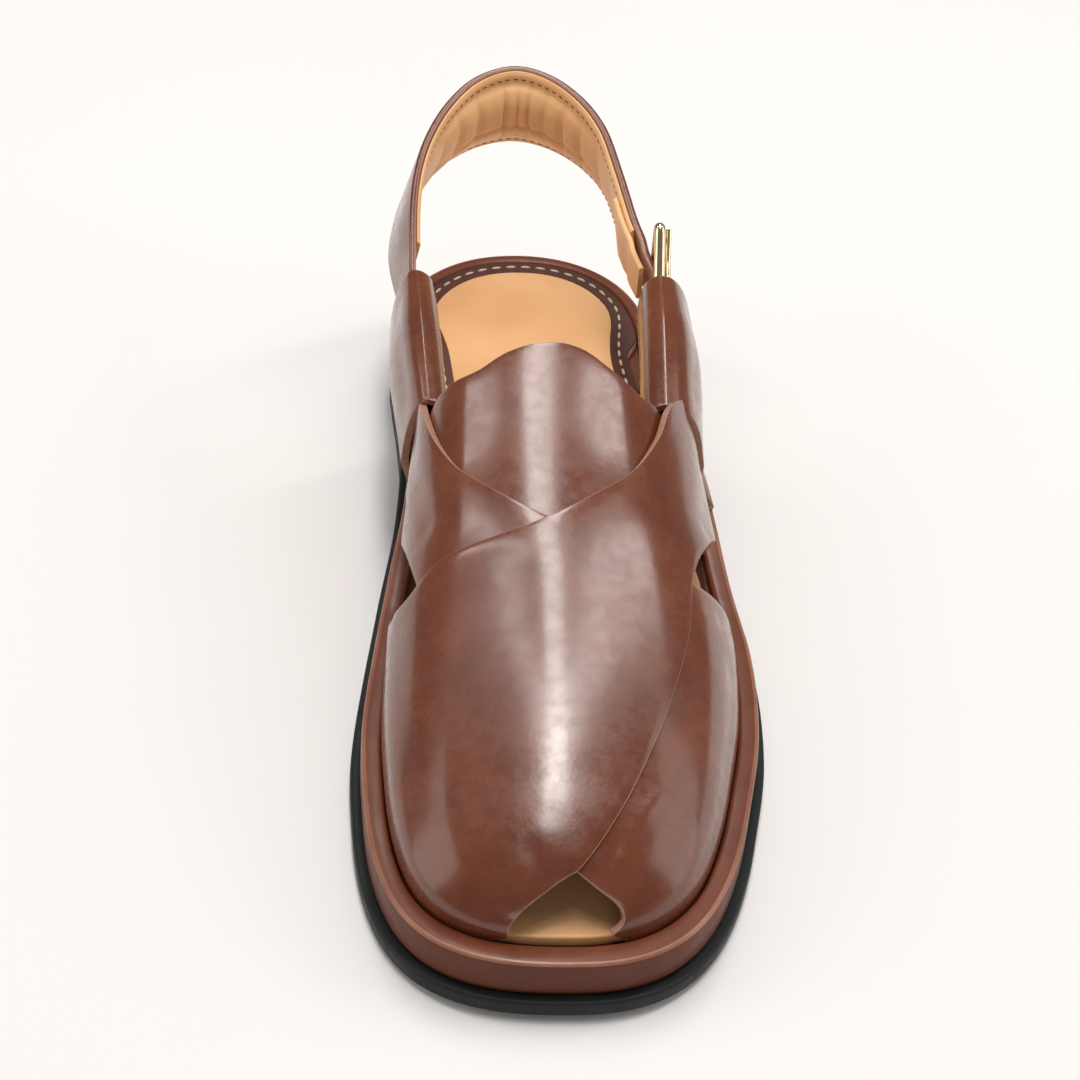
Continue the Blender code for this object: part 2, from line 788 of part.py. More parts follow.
def make_heel_pad(material, collection):
    """The lining inside the heel strap. It swells to a pad round the back of the heel."""
    seat = HEEL_STRAP_WALL / 2 + CLEARANCE

    def profile(place, pad):
        swell = LINING_WALL + (PAD_THICKNESS - LINING_WALL) * pad
        return (
            (0.03, -seat),
            (0.03, -seat - LINING_WALL * 0.5),
            (0.10, -seat - LINING_WALL),
            (0.20, -seat - mix(LINING_WALL, swell, 0.45)),
            (0.40, -seat - swell),
            (0.62, -seat - swell),
            (0.82, -seat - mix(LINING_WALL, swell, 0.6)),
            (0.92, -seat - LINING_WALL),
            (0.97, -seat - LINING_WALL * 0.5),
            (0.97, -seat),
        )

    return ribbon("heel_pad", PAD_FIRST, PAD_LAST, profile, material, collection)


def wire(name, points, diameter, closed, material, collection):
    curve = bpy.data.curves.new(name, "CURVE")
    curve.dimensions = "3D"
    curve.bevel_depth = diameter / 2
    curve.bevel_resolution = 2
    curve.use_fill_caps = not closed
    spline = curve.splines.new("POLY")
    spline.points.add(len(points) - 1)
    for control, point in zip(spline.points, points):
        control.co = (*point, 1)
    spline.use_cyclic_u = closed
    curve.materials.append(material)
    obj = bpy.data.objects.new(name, curve)
    collection.objects.link(obj)
    return obj


def rounded_corners(corners, radius, steps):
    """The points of a closed frame with its corners rounded."""
    points = []
    for index, corner in enumerate(corners):
        before = (corners[index - 1] - corner).normalized() * radius
        after = (corners[(index + 1) % len(corners)] - corner).normalized() * radius
        for step in range(steps + 1):
            share = step / steps
            points.append(corner + before * (1 - share) ** 2 + after * share**2)
    return points


def buckle_corners():
    """The middle line of the buckle's wire: rear bar upright, front bar lower and inside the sleeve."""
    y = y_of(BUCKLE_ALONG)
    rear = Vector((buckle_x(), y, strap_slope_height(y) + BUCKLE_RAISE - BUCKLE_WIRE / 2))
    front = rear + Vector((0, -BUCKLE_LENGTH, -BUCKLE_DROP))
    tall = Vector((0, 0, BUCKLE_HEIGHT - BUCKLE_WIRE))
    short = Vector((0, 0, BUCKLE_FRONT_HEIGHT - BUCKLE_WIRE))
    return [rear, rear - tall, front - short, front]


def prong_ends():
    """Where the prong's straight part starts by the front bar, and where its tip rests on the rear one."""
    rear_top, rear_low, front_low, front_top = buckle_corners()
    seat = Vector(((BUCKLE_WIRE + PRONG_WIRE) / 2 + CLEARANCE, 0, 0))
    tip = mix(rear_top, rear_low, PRONG_REST) + Vector((0, BUCKLE_WIRE / 2, 0))
    return (front_low + front_top) / 2 + seat, tip + seat


def make_buckle_frame(material, collection):
    points = rounded_corners(buckle_corners(), BUCKLE_CORNER, 4)
    return wire("buckle_frame", points, BUCKLE_WIRE, True, material, collection)


def make_buckle_prong(material, collection):
    """The prong: a hook round the front bar, then straight to the outer side of the rear bar."""
    start, end = prong_ends()
    radius = start.x - buckle_x()
    bar = start - Vector((radius, 0, 0))
    points = []
    for step in range(HOOK_STEPS):
        turn = math.pi * mix(HOOK_START, 2, step / HOOK_STEPS)
        points.append(bar + Vector((radius * math.cos(turn), radius * math.sin(turn), 0)))
    return wire("buckle_prong", [*points, start, end], PRONG_WIRE, False, material, collection)


def flat_strip(name, middle, height, wall, material, collection):
    """An upright strip of leather along a line of middle points."""
    bm = bmesh.new()
    loops = []
    for index, point in enumerate(middle):
        ahead = middle[min(index + 1, len(middle) - 1)] - middle[max(index - 1, 0)]
        square = Vector((-ahead.y, ahead.x, 0)).normalized() * wall / 2
        up = Vector((0, 0, height / 2))
        corners = (point + square - up, point + square + up, point - square + up, point - square - up)
        loops.append([bm.verts.new(corner) for corner in corners])
    for loop, after in zip(loops, loops[1:]):
        for index in range(4):
            onwards = (index + 1) % 4
            bm.faces.new((loop[index], loop[onwards], after[onwards], after[index]))
    bm.faces.new(loops[0])
    bm.faces.new(loops[-1])
    return new_object(name, bm, material, collection)


def make_buckle_tab(material, collection, cutters):
    """The tab folded round the buckle's front bar and held in the sleeve, with a slot for the prong."""
    front_low, front_top = buckle_corners()[2:]
    bar = (front_low + front_top) / 2
    radius = BUCKLE_WIRE / 2 + CLEARANCE + TAB_WALL / 2
    middle = [bar + Vector((-radius, -TAB_LENGTH, 0))]
    for step in range(TAB_STEPS + 1):
        turn = math.pi * (1 - step / TAB_STEPS)
        middle.append(bar + Vector((radius * math.cos(turn), radius * math.sin(turn), 0)))
    middle.append(bar + Vector((radius, -TAB_LENGTH, 0)))
    tab = flat_strip("buckle_tab", middle, TAB_HEIGHT, TAB_WALL, material, collection)
    reach = BUCKLE_WIRE / 2 + PRONG_WIRE + 2 * CLEARANCE
    half = PRONG_WIRE / 2 + CLEARANCE
    low = bar - Vector((reach, reach, half))
    high = bar + Vector((reach, reach, SLOT_RISE * half))
    cut_by(tab, block("tab_slot", low, high, material, cutters))
    return tab


def make_buckle_guard(material, collection):
    """The tan tab between the foot and the buckle, inside the heel strap and its lining."""
    seat = HEEL_STRAP_WALL / 2 + LINING_WALL + 2 * CLEARANCE

    def profile(place, pad):
        return ((0.02, -seat), (0.02, -seat - GUARD_WALL), (1.05, -seat - GUARD_WALL), (1.05, -seat))

    return ribbon("buckle_guard", GUARD_FIRST, GUARD_LAST, profile, material, collection)


def stand_at_centre(pieces, helpers):
    """Moves everything alike, so that the middle of the whole chappal's underside is the origin."""
    bpy.context.view_layer.update()
    graph = bpy.context.evaluated_depsgraph_get()
    points = []
    for obj in pieces:
        evaluated = obj.evaluated_get(graph)
        points.extend(vertex.co.copy() for vertex in evaluated.to_mesh().vertices)
        evaluated.to_mesh_clear()
    low = Vector([min(point[axis] for point in points) for axis in range(3)])
    high = Vector([max(point[axis] for point in points) for axis in range(3)])
    middle = (low + high) / 2
    for obj in (*pieces, *helpers):
        obj.location = -Vector((middle.x, middle.y, low.z))


def build():
    for obj in list(bpy.data.objects):
        bpy.data.objects.remove(obj)
    chappal = bpy.data.collections.new("chappal")
    cutters = bpy.data.collections.new("cutters")
    for collection in (chappal, cutters):
        bpy.context.scene.collection.children.link(collection)
    leather = leather_material("leather", (0.17, 0.05, 0.022), 0.28)
    lining = leather_material("lining", (0.72, 0.42, 0.19), 0.6)
    rubber = leather_material("rubber", (0.012, 0.016, 0.017), 0.55)
    brass = leather_material("brass", (0.83, 0.70, 0.48), 0.25, 1.0)
    make_outsole(rubber, chappal)
    make_heel(rubber, chappal)
    make_midsole(leather, chappal)
    make_insole(lining, chappal)
    make_upper(leather, chappal, cutters)
    make_tongue(leather, chappal)
    make_heel_strap(leather, chappal, cutters)
    make_heel_pad(lining, chappal)
    make_buckle_frame(brass, chappal)
    make_buckle_prong(brass, chappal)
    make_buckle_tab(leather, chappal, cutters)
    make_buckle_guard(lining, chappal)
    stand_at_centre(chappal.objects, cutters.objects)


build()
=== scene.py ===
"""The looks of a left chappal: crossed glossy straps, side sleeves, a padded heel strap and a bar buckle.

Metres, +Z up, toe towards -Y, the outer side of the foot towards +X, standing on the floor at z = 0.
"along" runs from 0 at the toe to 1 at the back of the sole. "across" runs over the foot's form, from 0 at
the inner foot of the upper to 1 at the outer one. "side" is -1 on the shoe's inner side and +1 on its outer.
"""

import bisect
import functools
import math

import bmesh
import bpy
import numpy as np
from mathutils import Matrix, Vector


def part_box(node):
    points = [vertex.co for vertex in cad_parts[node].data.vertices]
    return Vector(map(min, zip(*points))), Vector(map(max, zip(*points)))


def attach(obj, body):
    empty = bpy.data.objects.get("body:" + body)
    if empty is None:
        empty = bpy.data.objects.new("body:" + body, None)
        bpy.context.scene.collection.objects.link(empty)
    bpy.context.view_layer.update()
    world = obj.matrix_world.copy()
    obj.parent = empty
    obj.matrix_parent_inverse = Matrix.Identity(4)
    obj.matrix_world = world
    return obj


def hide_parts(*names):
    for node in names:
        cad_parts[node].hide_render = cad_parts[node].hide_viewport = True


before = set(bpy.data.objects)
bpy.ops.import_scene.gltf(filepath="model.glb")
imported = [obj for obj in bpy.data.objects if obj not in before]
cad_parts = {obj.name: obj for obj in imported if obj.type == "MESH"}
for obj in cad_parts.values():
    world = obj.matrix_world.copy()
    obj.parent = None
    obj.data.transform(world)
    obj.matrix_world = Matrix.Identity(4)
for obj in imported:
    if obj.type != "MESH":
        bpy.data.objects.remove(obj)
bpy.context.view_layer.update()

# Sole
SOLE_LENGTH = 0.290
BALL_WIDTH = 0.111
OUTSOLE_THICKNESS = 0.005
OUTSOLE_FLARE = 0.0026
OUTSOLE_ROUNDING = 0.0010
MIDSOLE_THICKNESS = 0.011
RIM_ROUNDING = 0.0012
RIM_WIDTH = 0.0056
HEEL_RIM_WIDTH = 0.0042
TOE_RIM_WIDTH = 0.0070
TRAY_DEPTH = 0.0034
INSOLE_THICKNESS = 0.0030
HEEL_LIFT = 0.012
TOE_SPRING = 0.002
CLEARANCE = 0.0003

# Upper
UPPER_WALL = 0.0022
STRAP_LAP = 0.0015
INSTEP_HEIGHT = 0.066
TONGUE_WALL = 0.0018
SLEEVE_WALL = 0.0022
SLEEVE_HEIGHT = 0.042
SLEEVE_INNER_REACH = 0.0060
SLEEVE_LEAN = 0.003

# Heel strap and its lining
HEEL_STRAP_WALL = 0.0020
HEEL_STRAP_HEIGHT = 0.0265
STRAP_BACK_HEIGHT = 0.092
STRAP_SLOPE = 0.333
STRAP_LEAN = 0.0065
LINING_WALL = 0.0012
PAD_THICKNESS = 0.0055

# Buckle
BUCKLE_WIRE = 0.0033
BUCKLE_LENGTH = 0.0150
BUCKLE_HEIGHT = 0.0260
BUCKLE_FRONT_HEIGHT = 0.0165
BUCKLE_CORNER = 0.0030
PRONG_WIRE = 0.0018
GUARD_WALL = 0.0016

INNER = -1
OUTER = 1
FOOT_SHARE = 0.05
TOE_ROUND = 0.28
HEEL_ROUND = 0.15
SPRING_SHARE = 0.16
ARCH_START = 0.44
ARCH_END = 0.70
UPPER_END = 0.815
UPPER_END_LENGTH = 0.03
SLEEVE_ROOM_START = 0.50
SLEEVE_ROOM_LENGTH = 0.05
HEEL_RIM_START = 0.62
HEEL_RIM_LENGTH = 0.16
TOE_RIM_LENGTH = 0.10
FADE_SHARE = 0.2
TOE_POWER = 2.5
HEEL_POWER = 2.1

# Half widths of the sole on its two sides, as shares of the ball width
OUTLINE = (
    ("along", "inner", "outer"),
    (0.00, 0.540, 0.477),
    (0.10, 0.491, 0.471),
    (0.20, 0.470, 0.489),
    (0.30, 0.466, 0.528),
    (0.40, 0.438, 0.536),
    (0.50, 0.401, 0.506),
    (0.60, 0.357, 0.474),
    (0.68, 0.343, 0.434),
    (0.76, 0.350, 0.390),
    (0.85, 0.368, 0.368),
    (1.00, 0.372, 0.365),
)

# The foot's form: height as a share of the instep height, the ridge and the bulges as shares of the ball
# width, and the power of each side's curve, where a lower one stands steeper
FORM = (
    ("along", "height", "ridge", "inner bulge", "outer bulge", "inner power", "outer power"),
    (0.03, 0.080, 0.009, 0.000, 0.000, 0.60, 0.60),
    (0.05, 0.150, 0.009, 0.000, 0.000, 0.70, 0.70),
    (0.07, 0.225, 0.009, 0.005, 0.005, 0.80, 0.80),
    (0.10, 0.311, 0.009, 0.009, 0.009, 0.90, 0.90),
    (0.15, 0.409, 0.009, 0.014, 0.014, 1.00, 1.00),
    (0.20, 0.492, 0.009, 0.018, 0.014, 1.00, 1.00),
    (0.30, 0.644, 0.000, 0.020, 0.009, 0.92, 1.00),
    (0.40, 0.788, -0.009, 0.036, 0.005, 0.80, 0.97),
    (0.50, 0.894, 0.000, 0.054, 0.005, 0.68, 0.93),
    (0.60, 0.955, 0.009, 0.072, 0.009, 0.60, 0.90),
    (0.70, 1.000, 0.009, 0.072, 0.018, 0.60, 0.90),
    (0.80, 1.030, 0.009, 0.072, 0.027, 0.60, 0.90),
)

# The two edges of each strap, a row for each section from its forefoot end to its waist end
TOP_STRAP = (
    ("front along", "front across", "rear along", "rear across"),
    (0.042, 0.000, 0.405, 0.000),
    (0.040, 0.050, 0.400, 0.050),
    (0.038, 0.160, 0.375, 0.130),
    (0.045, 0.385, 0.355, 0.235),
    (0.069, 0.504, 0.364, 0.316),
    (0.126, 0.597, 0.370, 0.427),
    (0.200, 0.653, 0.386, 0.499),
    (0.291, 0.698, 0.437, 0.600),
    (0.372, 0.720, 0.501, 0.671),
    (0.430, 0.775, 0.562, 0.724),
    (0.490, 0.870, 0.630, 0.850),
    (0.530, 0.950, 0.680, 0.950),
    (0.540, 1.000, 0.690, 1.000),
)
UNDER_STRAP = (
    ("front along", "front across", "rear along", "rear across"),
    (0.042, 1.000, 0.415, 1.000),
    (0.040, 0.950, 0.410, 0.950),
    (0.038, 0.840, 0.390, 0.880),
    (0.050, 0.641, 0.373, 0.785),
    (0.069, 0.512, 0.363, 0.700),
    (0.126, 0.415, 0.370, 0.580),
    (0.200, 0.350, 0.388, 0.498),
    (0.290, 0.295, 0.442, 0.390),
    (0.363, 0.258, 0.494, 0.325),
    (0.429, 0.205, 0.575, 0.243),
    (0.490, 0.120, 0.630, 0.150),
    (0.530, 0.050, 0.680, 0.050),
    (0.540, 0.000, 0.690, 0.000),
)

# The tongue's front and rear edges
TONGUE = (
    ("across", "front along", "rear along"),
    (0.235, 0.470, 0.535),
    (0.270, 0.430, 0.553),
    (0.330, 0.380, 0.556),
    (0.410, 0.345, 0.555),
    (0.460, 0.330, 0.567),
    (0.500, 0.325, 0.575),
    (0.540, 0.330, 0.572),
    (0.600, 0.345, 0.559),
    (0.660, 0.380, 0.549),
    (0.715, 0.430, 0.550),
    (0.750, 0.470, 0.535),
)

# The sleeve's section, from its inner foot in the tray over its crest to its outer foot on the rim:
# "to crest" leads from the foot line to the crest line, "reach" is the share of the reach on that side
SLEEVE_SECTION = (
    ("to crest", "reach", "height"),
    (0.00, 0.00, -0.066),
    (0.00, 0.00, 0.00),
    (0.35, 0.30, 0.24),
    (0.80, 0.75, 0.42),
    (1.00, 0.96, 0.58),
    (1.00, 1.00, 0.78),
    (1.00, 0.82, 0.92),
    (1.00, 0.40, 0.985),
    (1.00, 0.00, 1.00),
    (1.00, 0.30, 0.975),
    (1.00, 0.62, 0.88),
    (1.00, 0.86, 0.72),
    (1.00, 0.98, 0.54),
    (0.90, 1.00, 0.38),
    (0.45, 0.55, 0.20),
    (0.03, 0.05, 0.07),
    (0.00, 0.00, 0.010),
)
CREST_SECTION = 8

# Where each sleeve runs: the crest's place across as shares of the ball width, and its height as a share
SLEEVE_RUN = (
    ("along", "inner crest", "outer crest", "inner widest", "outer widest", "height"),
    (0.572, -0.290, 0.304, -0.346, 0.410, 0.97),
    (0.620, -0.299, 0.308, -0.364, 0.416, 0.985),
    (0.680, -0.308, 0.314, -0.380, 0.424, 1.00),
    (0.745, -0.318, 0.320, -0.376, 0.412, 1.02),
)

# The top edge of the heel strap, from its end in the inner sleeve round the back to the buckle. "height" is a
# share of the strap's height, "lean" of its lean, "pad" of the pad's swelling, and "drop" is how far the edge
# lies under its even slope, as a share of the strap's height
HEEL_STRAP = (
    ("across", "along", "height", "lean", "pad", "drop"),
    (-0.330, 0.650, 0.48, 0.00, 0.0, 0.04),
    (-0.330, 0.700, 0.52, 0.00, 0.0, 0.05),
    (-0.322, 0.760, 0.68, 0.25, 0.0, 0.04),
    (-0.319, 0.833, 0.84, 0.95, 0.0, 0.00),
    (-0.307, 0.880, 0.93, 1.05, 0.1, 0.00),
    (-0.278, 0.922, 0.98, 1.10, 0.4, 0.00),
    (-0.225, 0.963, 1.00, 0.90, 0.8, 0.00),
    (-0.150, 0.996, 1.00, 0.40, 1.0, 0.00),
    (-0.050, 1.012, 1.00, 0.10, 1.0, 0.00),
    (0.045, 1.003, 1.00, 0.30, 1.0, 0.00),
    (0.130, 0.976, 0.99, 0.60, 0.8, 0.00),
    (0.190, 0.938, 0.95, 0.70, 0.4, 0.00),
    (0.228, 0.884, 0.86, 0.60, 0.1, 0.00),
    (0.258, 0.832, 0.66, 0.40, 0.0, 0.00),
    (0.279, 0.805, 0.46, 0.10, 0.0, 0.00),
)
HEEL_STRAP_BACK = 1.012

# Its end, which threads the buckle into the outer sleeve: "through" is 0 inside the rear bar and 1 outside
# the front one
BUCKLED_END = (
    ("through", "from bar", "height", "drop"),
    (0.00, 0.000, 0.400, 0.00),
    (0.42, -0.520, 0.385, 0.03),
    (0.86, -0.890, 0.375, 0.12),
    (1.00, -1.220, 0.360, 0.18),
    (1.00, -2.600, 0.340, 0.14),
)
PAD_FIRST = 2.5
PAD_LAST = 13.5
GUARD_FIRST = 12.5
GUARD_LAST = 15.5

# The buckle's rear bar, and how far the frame's front lies under its rear
BUCKLE_ACROSS = 0.315
BUCKLE_ALONG = 0.787
BUCKLE_RAISE = 0.0120
BUCKLE_DROP = 0.0185
PRONG_REST = 0.14
HOOK_START = 1.3

# Fineness of the pieces. The solids' outline has its own steps
SOLID_STEPS = 72
OUTLINE_STEPS = 280
STRAP_SECTIONS = 130
STRAP_COLUMNS = 60
STRAP_CROWDING = 1.1
SLEEVE_SECTIONS = 44
SLEEVE_COLUMNS = 96
TONGUE_SECTIONS = 70
TONGUE_COLUMNS = 44
STATION_STEP = 0.06
LINING_ROWS = 40
WIRE_ROUNDS = 6
CORNER_STEPS = 10
HOOK_STEPS = 12
ROD_SEGMENTS = 20
THREAD_SEGMENTS = 8
EDGE_STEPS = 4
BEVEL_SEGMENTS = 3
BEVEL_ANGLE = math.radians(50)
SLAB_ANGLE = math.radians(40)
RIBBON_ANGLE = math.radians(45)
TINY = 1e-9

# Edges, seams and threads
EDGE_ROUNDING = 0.00048
EDGE_ROLL = 0.00015
EDGE_ROLL_WIDTH = 0.0016
FORM_GIRTH = 0.165
OUTSOLE_CHAMFER = 0.3
SLEEVE_FADE = 0.2
SLEEVE_FOOT_ROWS = 2
RIM_BEAD = 0.0007
BAND_START = 0.700
BAND_WIDTH = 0.0052
BAND_SEAM = 0.0024
BAND_BEND = 0.0040
BAND_BEND_START = 0.92
BAND_BEND_LENGTH = 0.12
BAND_RISE = 0.00025
BAND_SLOPE = 4
BAND_FADE = 0.01
BAND_STITCH = 0.0030
BAND_PITCH = 0.0046
BAND_THREAD = 0.00042
STRAP_STITCH = 0.0016
STRAP_PITCH = 0.0025
STRAP_THREAD = 0.00022
SEAM_MARGIN = 0.1
TOP_SEAM = 0.115
BOTTOM_SEAM = 0.905
PAD_GROOVE = 0.17
PAD_CREASE = 0.66
PAD_GROOVE_DEPTH = 0.0009
PAD_GROOVE_WIDTH = 0.026
PAD_ARCH = 0.05
PLEAT_TOP = 0.12
PLEAT_LENGTH = 0.76
PLEAT_LEAST = 0.35
LINING_LEAST = 0.3
LINING_TOP = 0.03
LINING_BOTTOM = 0.97
GUARD_TOP = 0.02
GUARD_BOTTOM = 1.05

# Soft creases over the form: a line from one place to another, its half width and its depth in metres
TOP_CREASES = (
    ("along", "across", "end along", "end across", "width", "depth"),
    (0.062, 0.480, 0.085, 0.440, 0.0024, 0.0003),
    (0.130, 0.340, 0.340, 0.440, 0.0080, 0.0004),
    (0.100, 0.220, 0.330, 0.205, 0.0075, 0.0005),
    (0.090, 0.110, 0.320, 0.125, 0.0050, 0.0005),
    (0.345, 0.110, 0.375, 0.200, 0.0024, 0.0005),
    (0.430, 0.640, 0.560, 0.735, 0.0060, 0.0004),
    (0.450, 0.775, 0.600, 0.860, 0.0042, 0.0006),
    (0.500, 0.880, 0.650, 0.915, 0.0036, 0.0006),
)
UNDER_CREASES = (
    ("along", "across", "end along", "end across", "width", "depth"),
    (0.080, 0.570, 0.115, 0.620, 0.0022, 0.0003),
    (0.100, 0.600, 0.140, 0.670, 0.0022, -0.0003),
    (0.110, 0.870, 0.310, 0.845, 0.0055, 0.0007),
    (0.130, 0.760, 0.330, 0.740, 0.0060, -0.0005),
    (0.355, 0.800, 0.385, 0.880, 0.0024, 0.0005),
    (0.420, 0.290, 0.590, 0.190, 0.0048, 0.0006),
    (0.490, 0.165, 0.650, 0.095, 0.0038, 0.0006),
)
TONGUE_CREASES = (
    ("along", "across", "end along", "end across", "width", "depth"),
    (0.420, 0.400, 0.560, 0.415, 0.0045, 0.0002),
    (0.420, 0.600, 0.560, 0.585, 0.0045, 0.0002),
)

# The soft creases along each sleeve: the place over its section, its half width in rows and its depth
SLEEVE_CREASES = (
    ("place", "width", "depth"),
    (3.4, 0.45, 0.0007),
    (5.4, 0.60, -0.0003),
    (10.6, 0.70, 0.0005),
    (13.2, 0.50, 0.0006),
)

# The heel lining's thickness down its height, where "swell" turns from the lining's wall to the pad's
LINING_SECTION = (
    ("share", "wall", "swell"),
    (0.03, 0.35, 0.0),
    (0.06, 0.90, 0.0),
    (0.12, 1.00, 0.0),
    (0.20, 1.00, 0.42),
    (0.32, 1.00, 0.86),
    (0.48, 1.00, 1.0),
    (0.62, 1.00, 0.96),
    (0.74, 1.00, 0.78),
    (0.84, 1.00, 0.42),
    (0.92, 1.00, 0.0),
    (0.95, 0.85, 0.0),
    (0.97, 0.35, 0.0),
)

# The pleats round the back of the heel: station, half width in stations, and depth
PLEATS = (
    ("station", "width", "depth"),
    (4.60, 0.16, 0.0006),
    (5.50, 0.13, 0.0009),
    (6.15, 0.11, 0.0011),
    (6.80, 0.12, 0.0010),
    (7.68, 0.09, 0.0013),
    (8.22, 0.08, 0.0010),
    (8.64, 0.08, 0.0012),
    (9.20, 0.10, 0.0008),
    (9.76, 0.09, 0.0013),
    (10.40, 0.11, 0.0011),
    (11.10, 0.13, 0.0010),
    (11.80, 0.14, 0.0008),
    (12.60, 0.16, 0.0005),
)

# Colours, linear
POLISHED_BROWN = (0.190, 0.053, 0.021)
DEEP_BROWN = (0.110, 0.027, 0.011)
RED_BROWN = (0.135, 0.036, 0.018)
# Painted highlight: a lighter brown on the midsole's rounded outer top edge, where light catches it
RIM_HIGHLIGHT = (0.36, 0.16, 0.10)
CUT_EDGE = (0.46, 0.24, 0.17)
CUT_SHADE = (0.36, 0.19, 0.13)
TAN = (0.86, 0.51, 0.24)
TAN_SHADE = (0.78, 0.43, 0.18)
BAND_BROWN = (0.045, 0.022, 0.018)
CREAM = (0.78, 0.66, 0.46)
DARK_THREAD = (0.16, 0.07, 0.03)
THREAD_SHADE = 0.7
RUBBER_BLACK = (0.006, 0.010, 0.010)
RUBBER_WORN = (0.011, 0.016, 0.015)
PALE_GOLD = (0.86, 0.74, 0.50)
GOLD_SHADE = (0.78, 0.62, 0.38)
FLOOR_PALE = (0.86, 0.86, 0.85)
FLOOR_SHADE = 0.98
FLOOR_SIZE = 4.0

# The camera and the lights
CAMERA_PLACE = (-0.0640, -0.5998, 0.5368)
PHOTO_AIM = (-0.0541, 0.0331, 0.0)
SHOE_AIM = (-0.0030, 0.0105, 0.020)
LENS = 95.0
SENSOR = 36.0
WORLD_STRENGTH = 0.16
CAMERA_ROLL = math.radians(1.55)
LIGHT_TONE = (1.0, 0.95, 0.92)

# Strips and boxes of light: the middle, what it looks at, width across, length, and watts
LIGHTS = (
    ("x", "y", "z", "at x", "at y", "width", "length", "watts"),
    (0.02, 0.34, 1.50, 0.01, 0.00, 0.20, 1.70, 13.0),
    (0.52, 0.26, 1.30, 0.02, 0.00, 0.13, 1.50, 6.0),
    (-0.50, 0.26, 1.30, -0.02, 0.00, 0.10, 1.50, 4.0),
    (-1.30, -0.10, 0.50, -0.02, 0.00, 0.80, 1.20, 5.0),
    (1.30, -0.10, 0.55, 0.02, 0.00, 0.80, 1.20, 5.0),
    (0.10, -1.60, 0.90, 0.00, 0.00, 1.20, 0.50, 3.5),
)


def column(table, name):
    """The values of one column of a table. A table's first row holds the names of its columns."""
    return [row[table[0].index(name)] for row in table[1:]]


@functools.lru_cache(maxsize=None)
def curve(table, name):
    """A column's values, the places of its rows from the table's first column, and its slopes there."""
    places = column(table, table[0][0])
    values = column(table, name)
    return places, values, list(np.gradient(values, places))


def blend(table, name, place):
    """A column of a table at a place between its rows, on a smooth curve through them."""
    places, values, slopes = curve(table, name)
    place = min(max(place, places[0]), places[-1])
    row = min(bisect.bisect_right(places, place) - 1, len(places) - 2)
    step = places[row + 1] - places[row]
    u = (place - places[row]) / step
    rise = u * u * (3 - 2 * u)
    start = u * (1 - u) ** 2 * step * slopes[row]
    end = u * u * (u - 1) * step * slopes[row + 1]
    return float(values[row] + (values[row + 1] - values[row]) * rise + start + end)


@functools.lru_cache(maxsize=None)
def numbered(table):
    """The same table with each row's number as its first column, so that it can be read by section."""
    return (("section", *table[0]), *((index, *row) for index, row in enumerate(table[1:])))


def side_name(side):
    return "inner" if side == INNER else "outer"


def ease(value):
    value = min(max(value, 0.0), 1.0)
    return value * value * (3 - 2 * value)


def mix(a, b, share):
    return a + (b - a) * share


def end_round(distance, reach, power):
    """From 0 at the end of an outline to 1 where its round end meets the side."""
    if distance >= reach:
        return 1.0
    return (1 - (1 - max(distance, 0.0) / reach) ** power) ** (1 / power)


def y_of(along):
    return (along - 0.5) * SOLE_LENGTH


def along_of(y):
    return y / SOLE_LENGTH + 0.5


def half_width(along, side):
    full = blend(OUTLINE, side_name(side), along) * BALL_WIDTH
    return full * end_round(along, TOE_ROUND, TOE_POWER) * end_round(1 - along, HEEL_ROUND, HEEL_POWER)


def outline_point(turn):
    """A point of the sole's outline: turn is 0 at the toe, pi at the back, negative on the inner side."""
    side = INNER if math.sin(turn) < 0 else OUTER
    along = (1 - math.cos(turn)) / 2
    return Vector((side * half_width(along, side), y_of(along)))


def edge_point(turn, inset):
    """A point of the outline moved in by inset, square to the outline."""
    small = 0.001
    direction = (outline_point(turn + small) - outline_point(turn - small)).normalized()
    return outline_point(turn) + Vector((-direction.y, direction.x)) * inset


@functools.lru_cache(maxsize=None)
def edge_line(side, inset):
    """The outline moved in by inset on one side of the shoe, worked out once."""
    points = [edge_point(turn, inset) for turn in np.linspace(0.02, math.pi - 0.02, 120) * side]
    return [point.y for point in points], [point.x for point in points]


def edge_x(along, side, inset):
    """Where the outline moved in by inset lies across, at a place along."""
    ys, xs = edge_line(side, inset)
    return float(np.interp(y_of(along), ys, xs))


def underside(along):
    """Height of the outsole's underside: toe spring, flat forefoot, arch and heel."""
    spring = TOE_SPRING * max(1 - along / SPRING_SHARE, 0.0) ** 2
    return spring + HEEL_LIFT * ease((along - ARCH_START) / (ARCH_END - ARCH_START))


def rim_height(along):
    return underside(along) + OUTSOLE_THICKNESS + MIDSOLE_THICKNESS


def rim_width(along):
    toe = TOE_RIM_WIDTH - RIM_WIDTH
    heel_share = ease((along - HEEL_RIM_START) / HEEL_RIM_LENGTH)
    return mix(RIM_WIDTH, HEEL_RIM_WIDTH, heel_share) + toe * ease(1 - along / TOE_RIM_LENGTH)


def groove_inset(along):
    """The inset of the tray's wall, where the upper's outer face stands."""
    return OUTSOLE_FLARE + rim_width(along)


def insole_inset(along):
    """The insole leaves room for the upper's foot, and for the sleeve's inner leg at the waist."""
    behind = 1 - ease((along - UPPER_END) / UPPER_END_LENGTH)
    upper_room = (UPPER_WALL + CLEARANCE) * behind
    sleeve_room = STRAP_LAP * ease((along - SLEEVE_ROOM_START) / SLEEVE_ROOM_LENGTH) * behind
    return groove_inset(along) + CLEARANCE + upper_room + sleeve_room


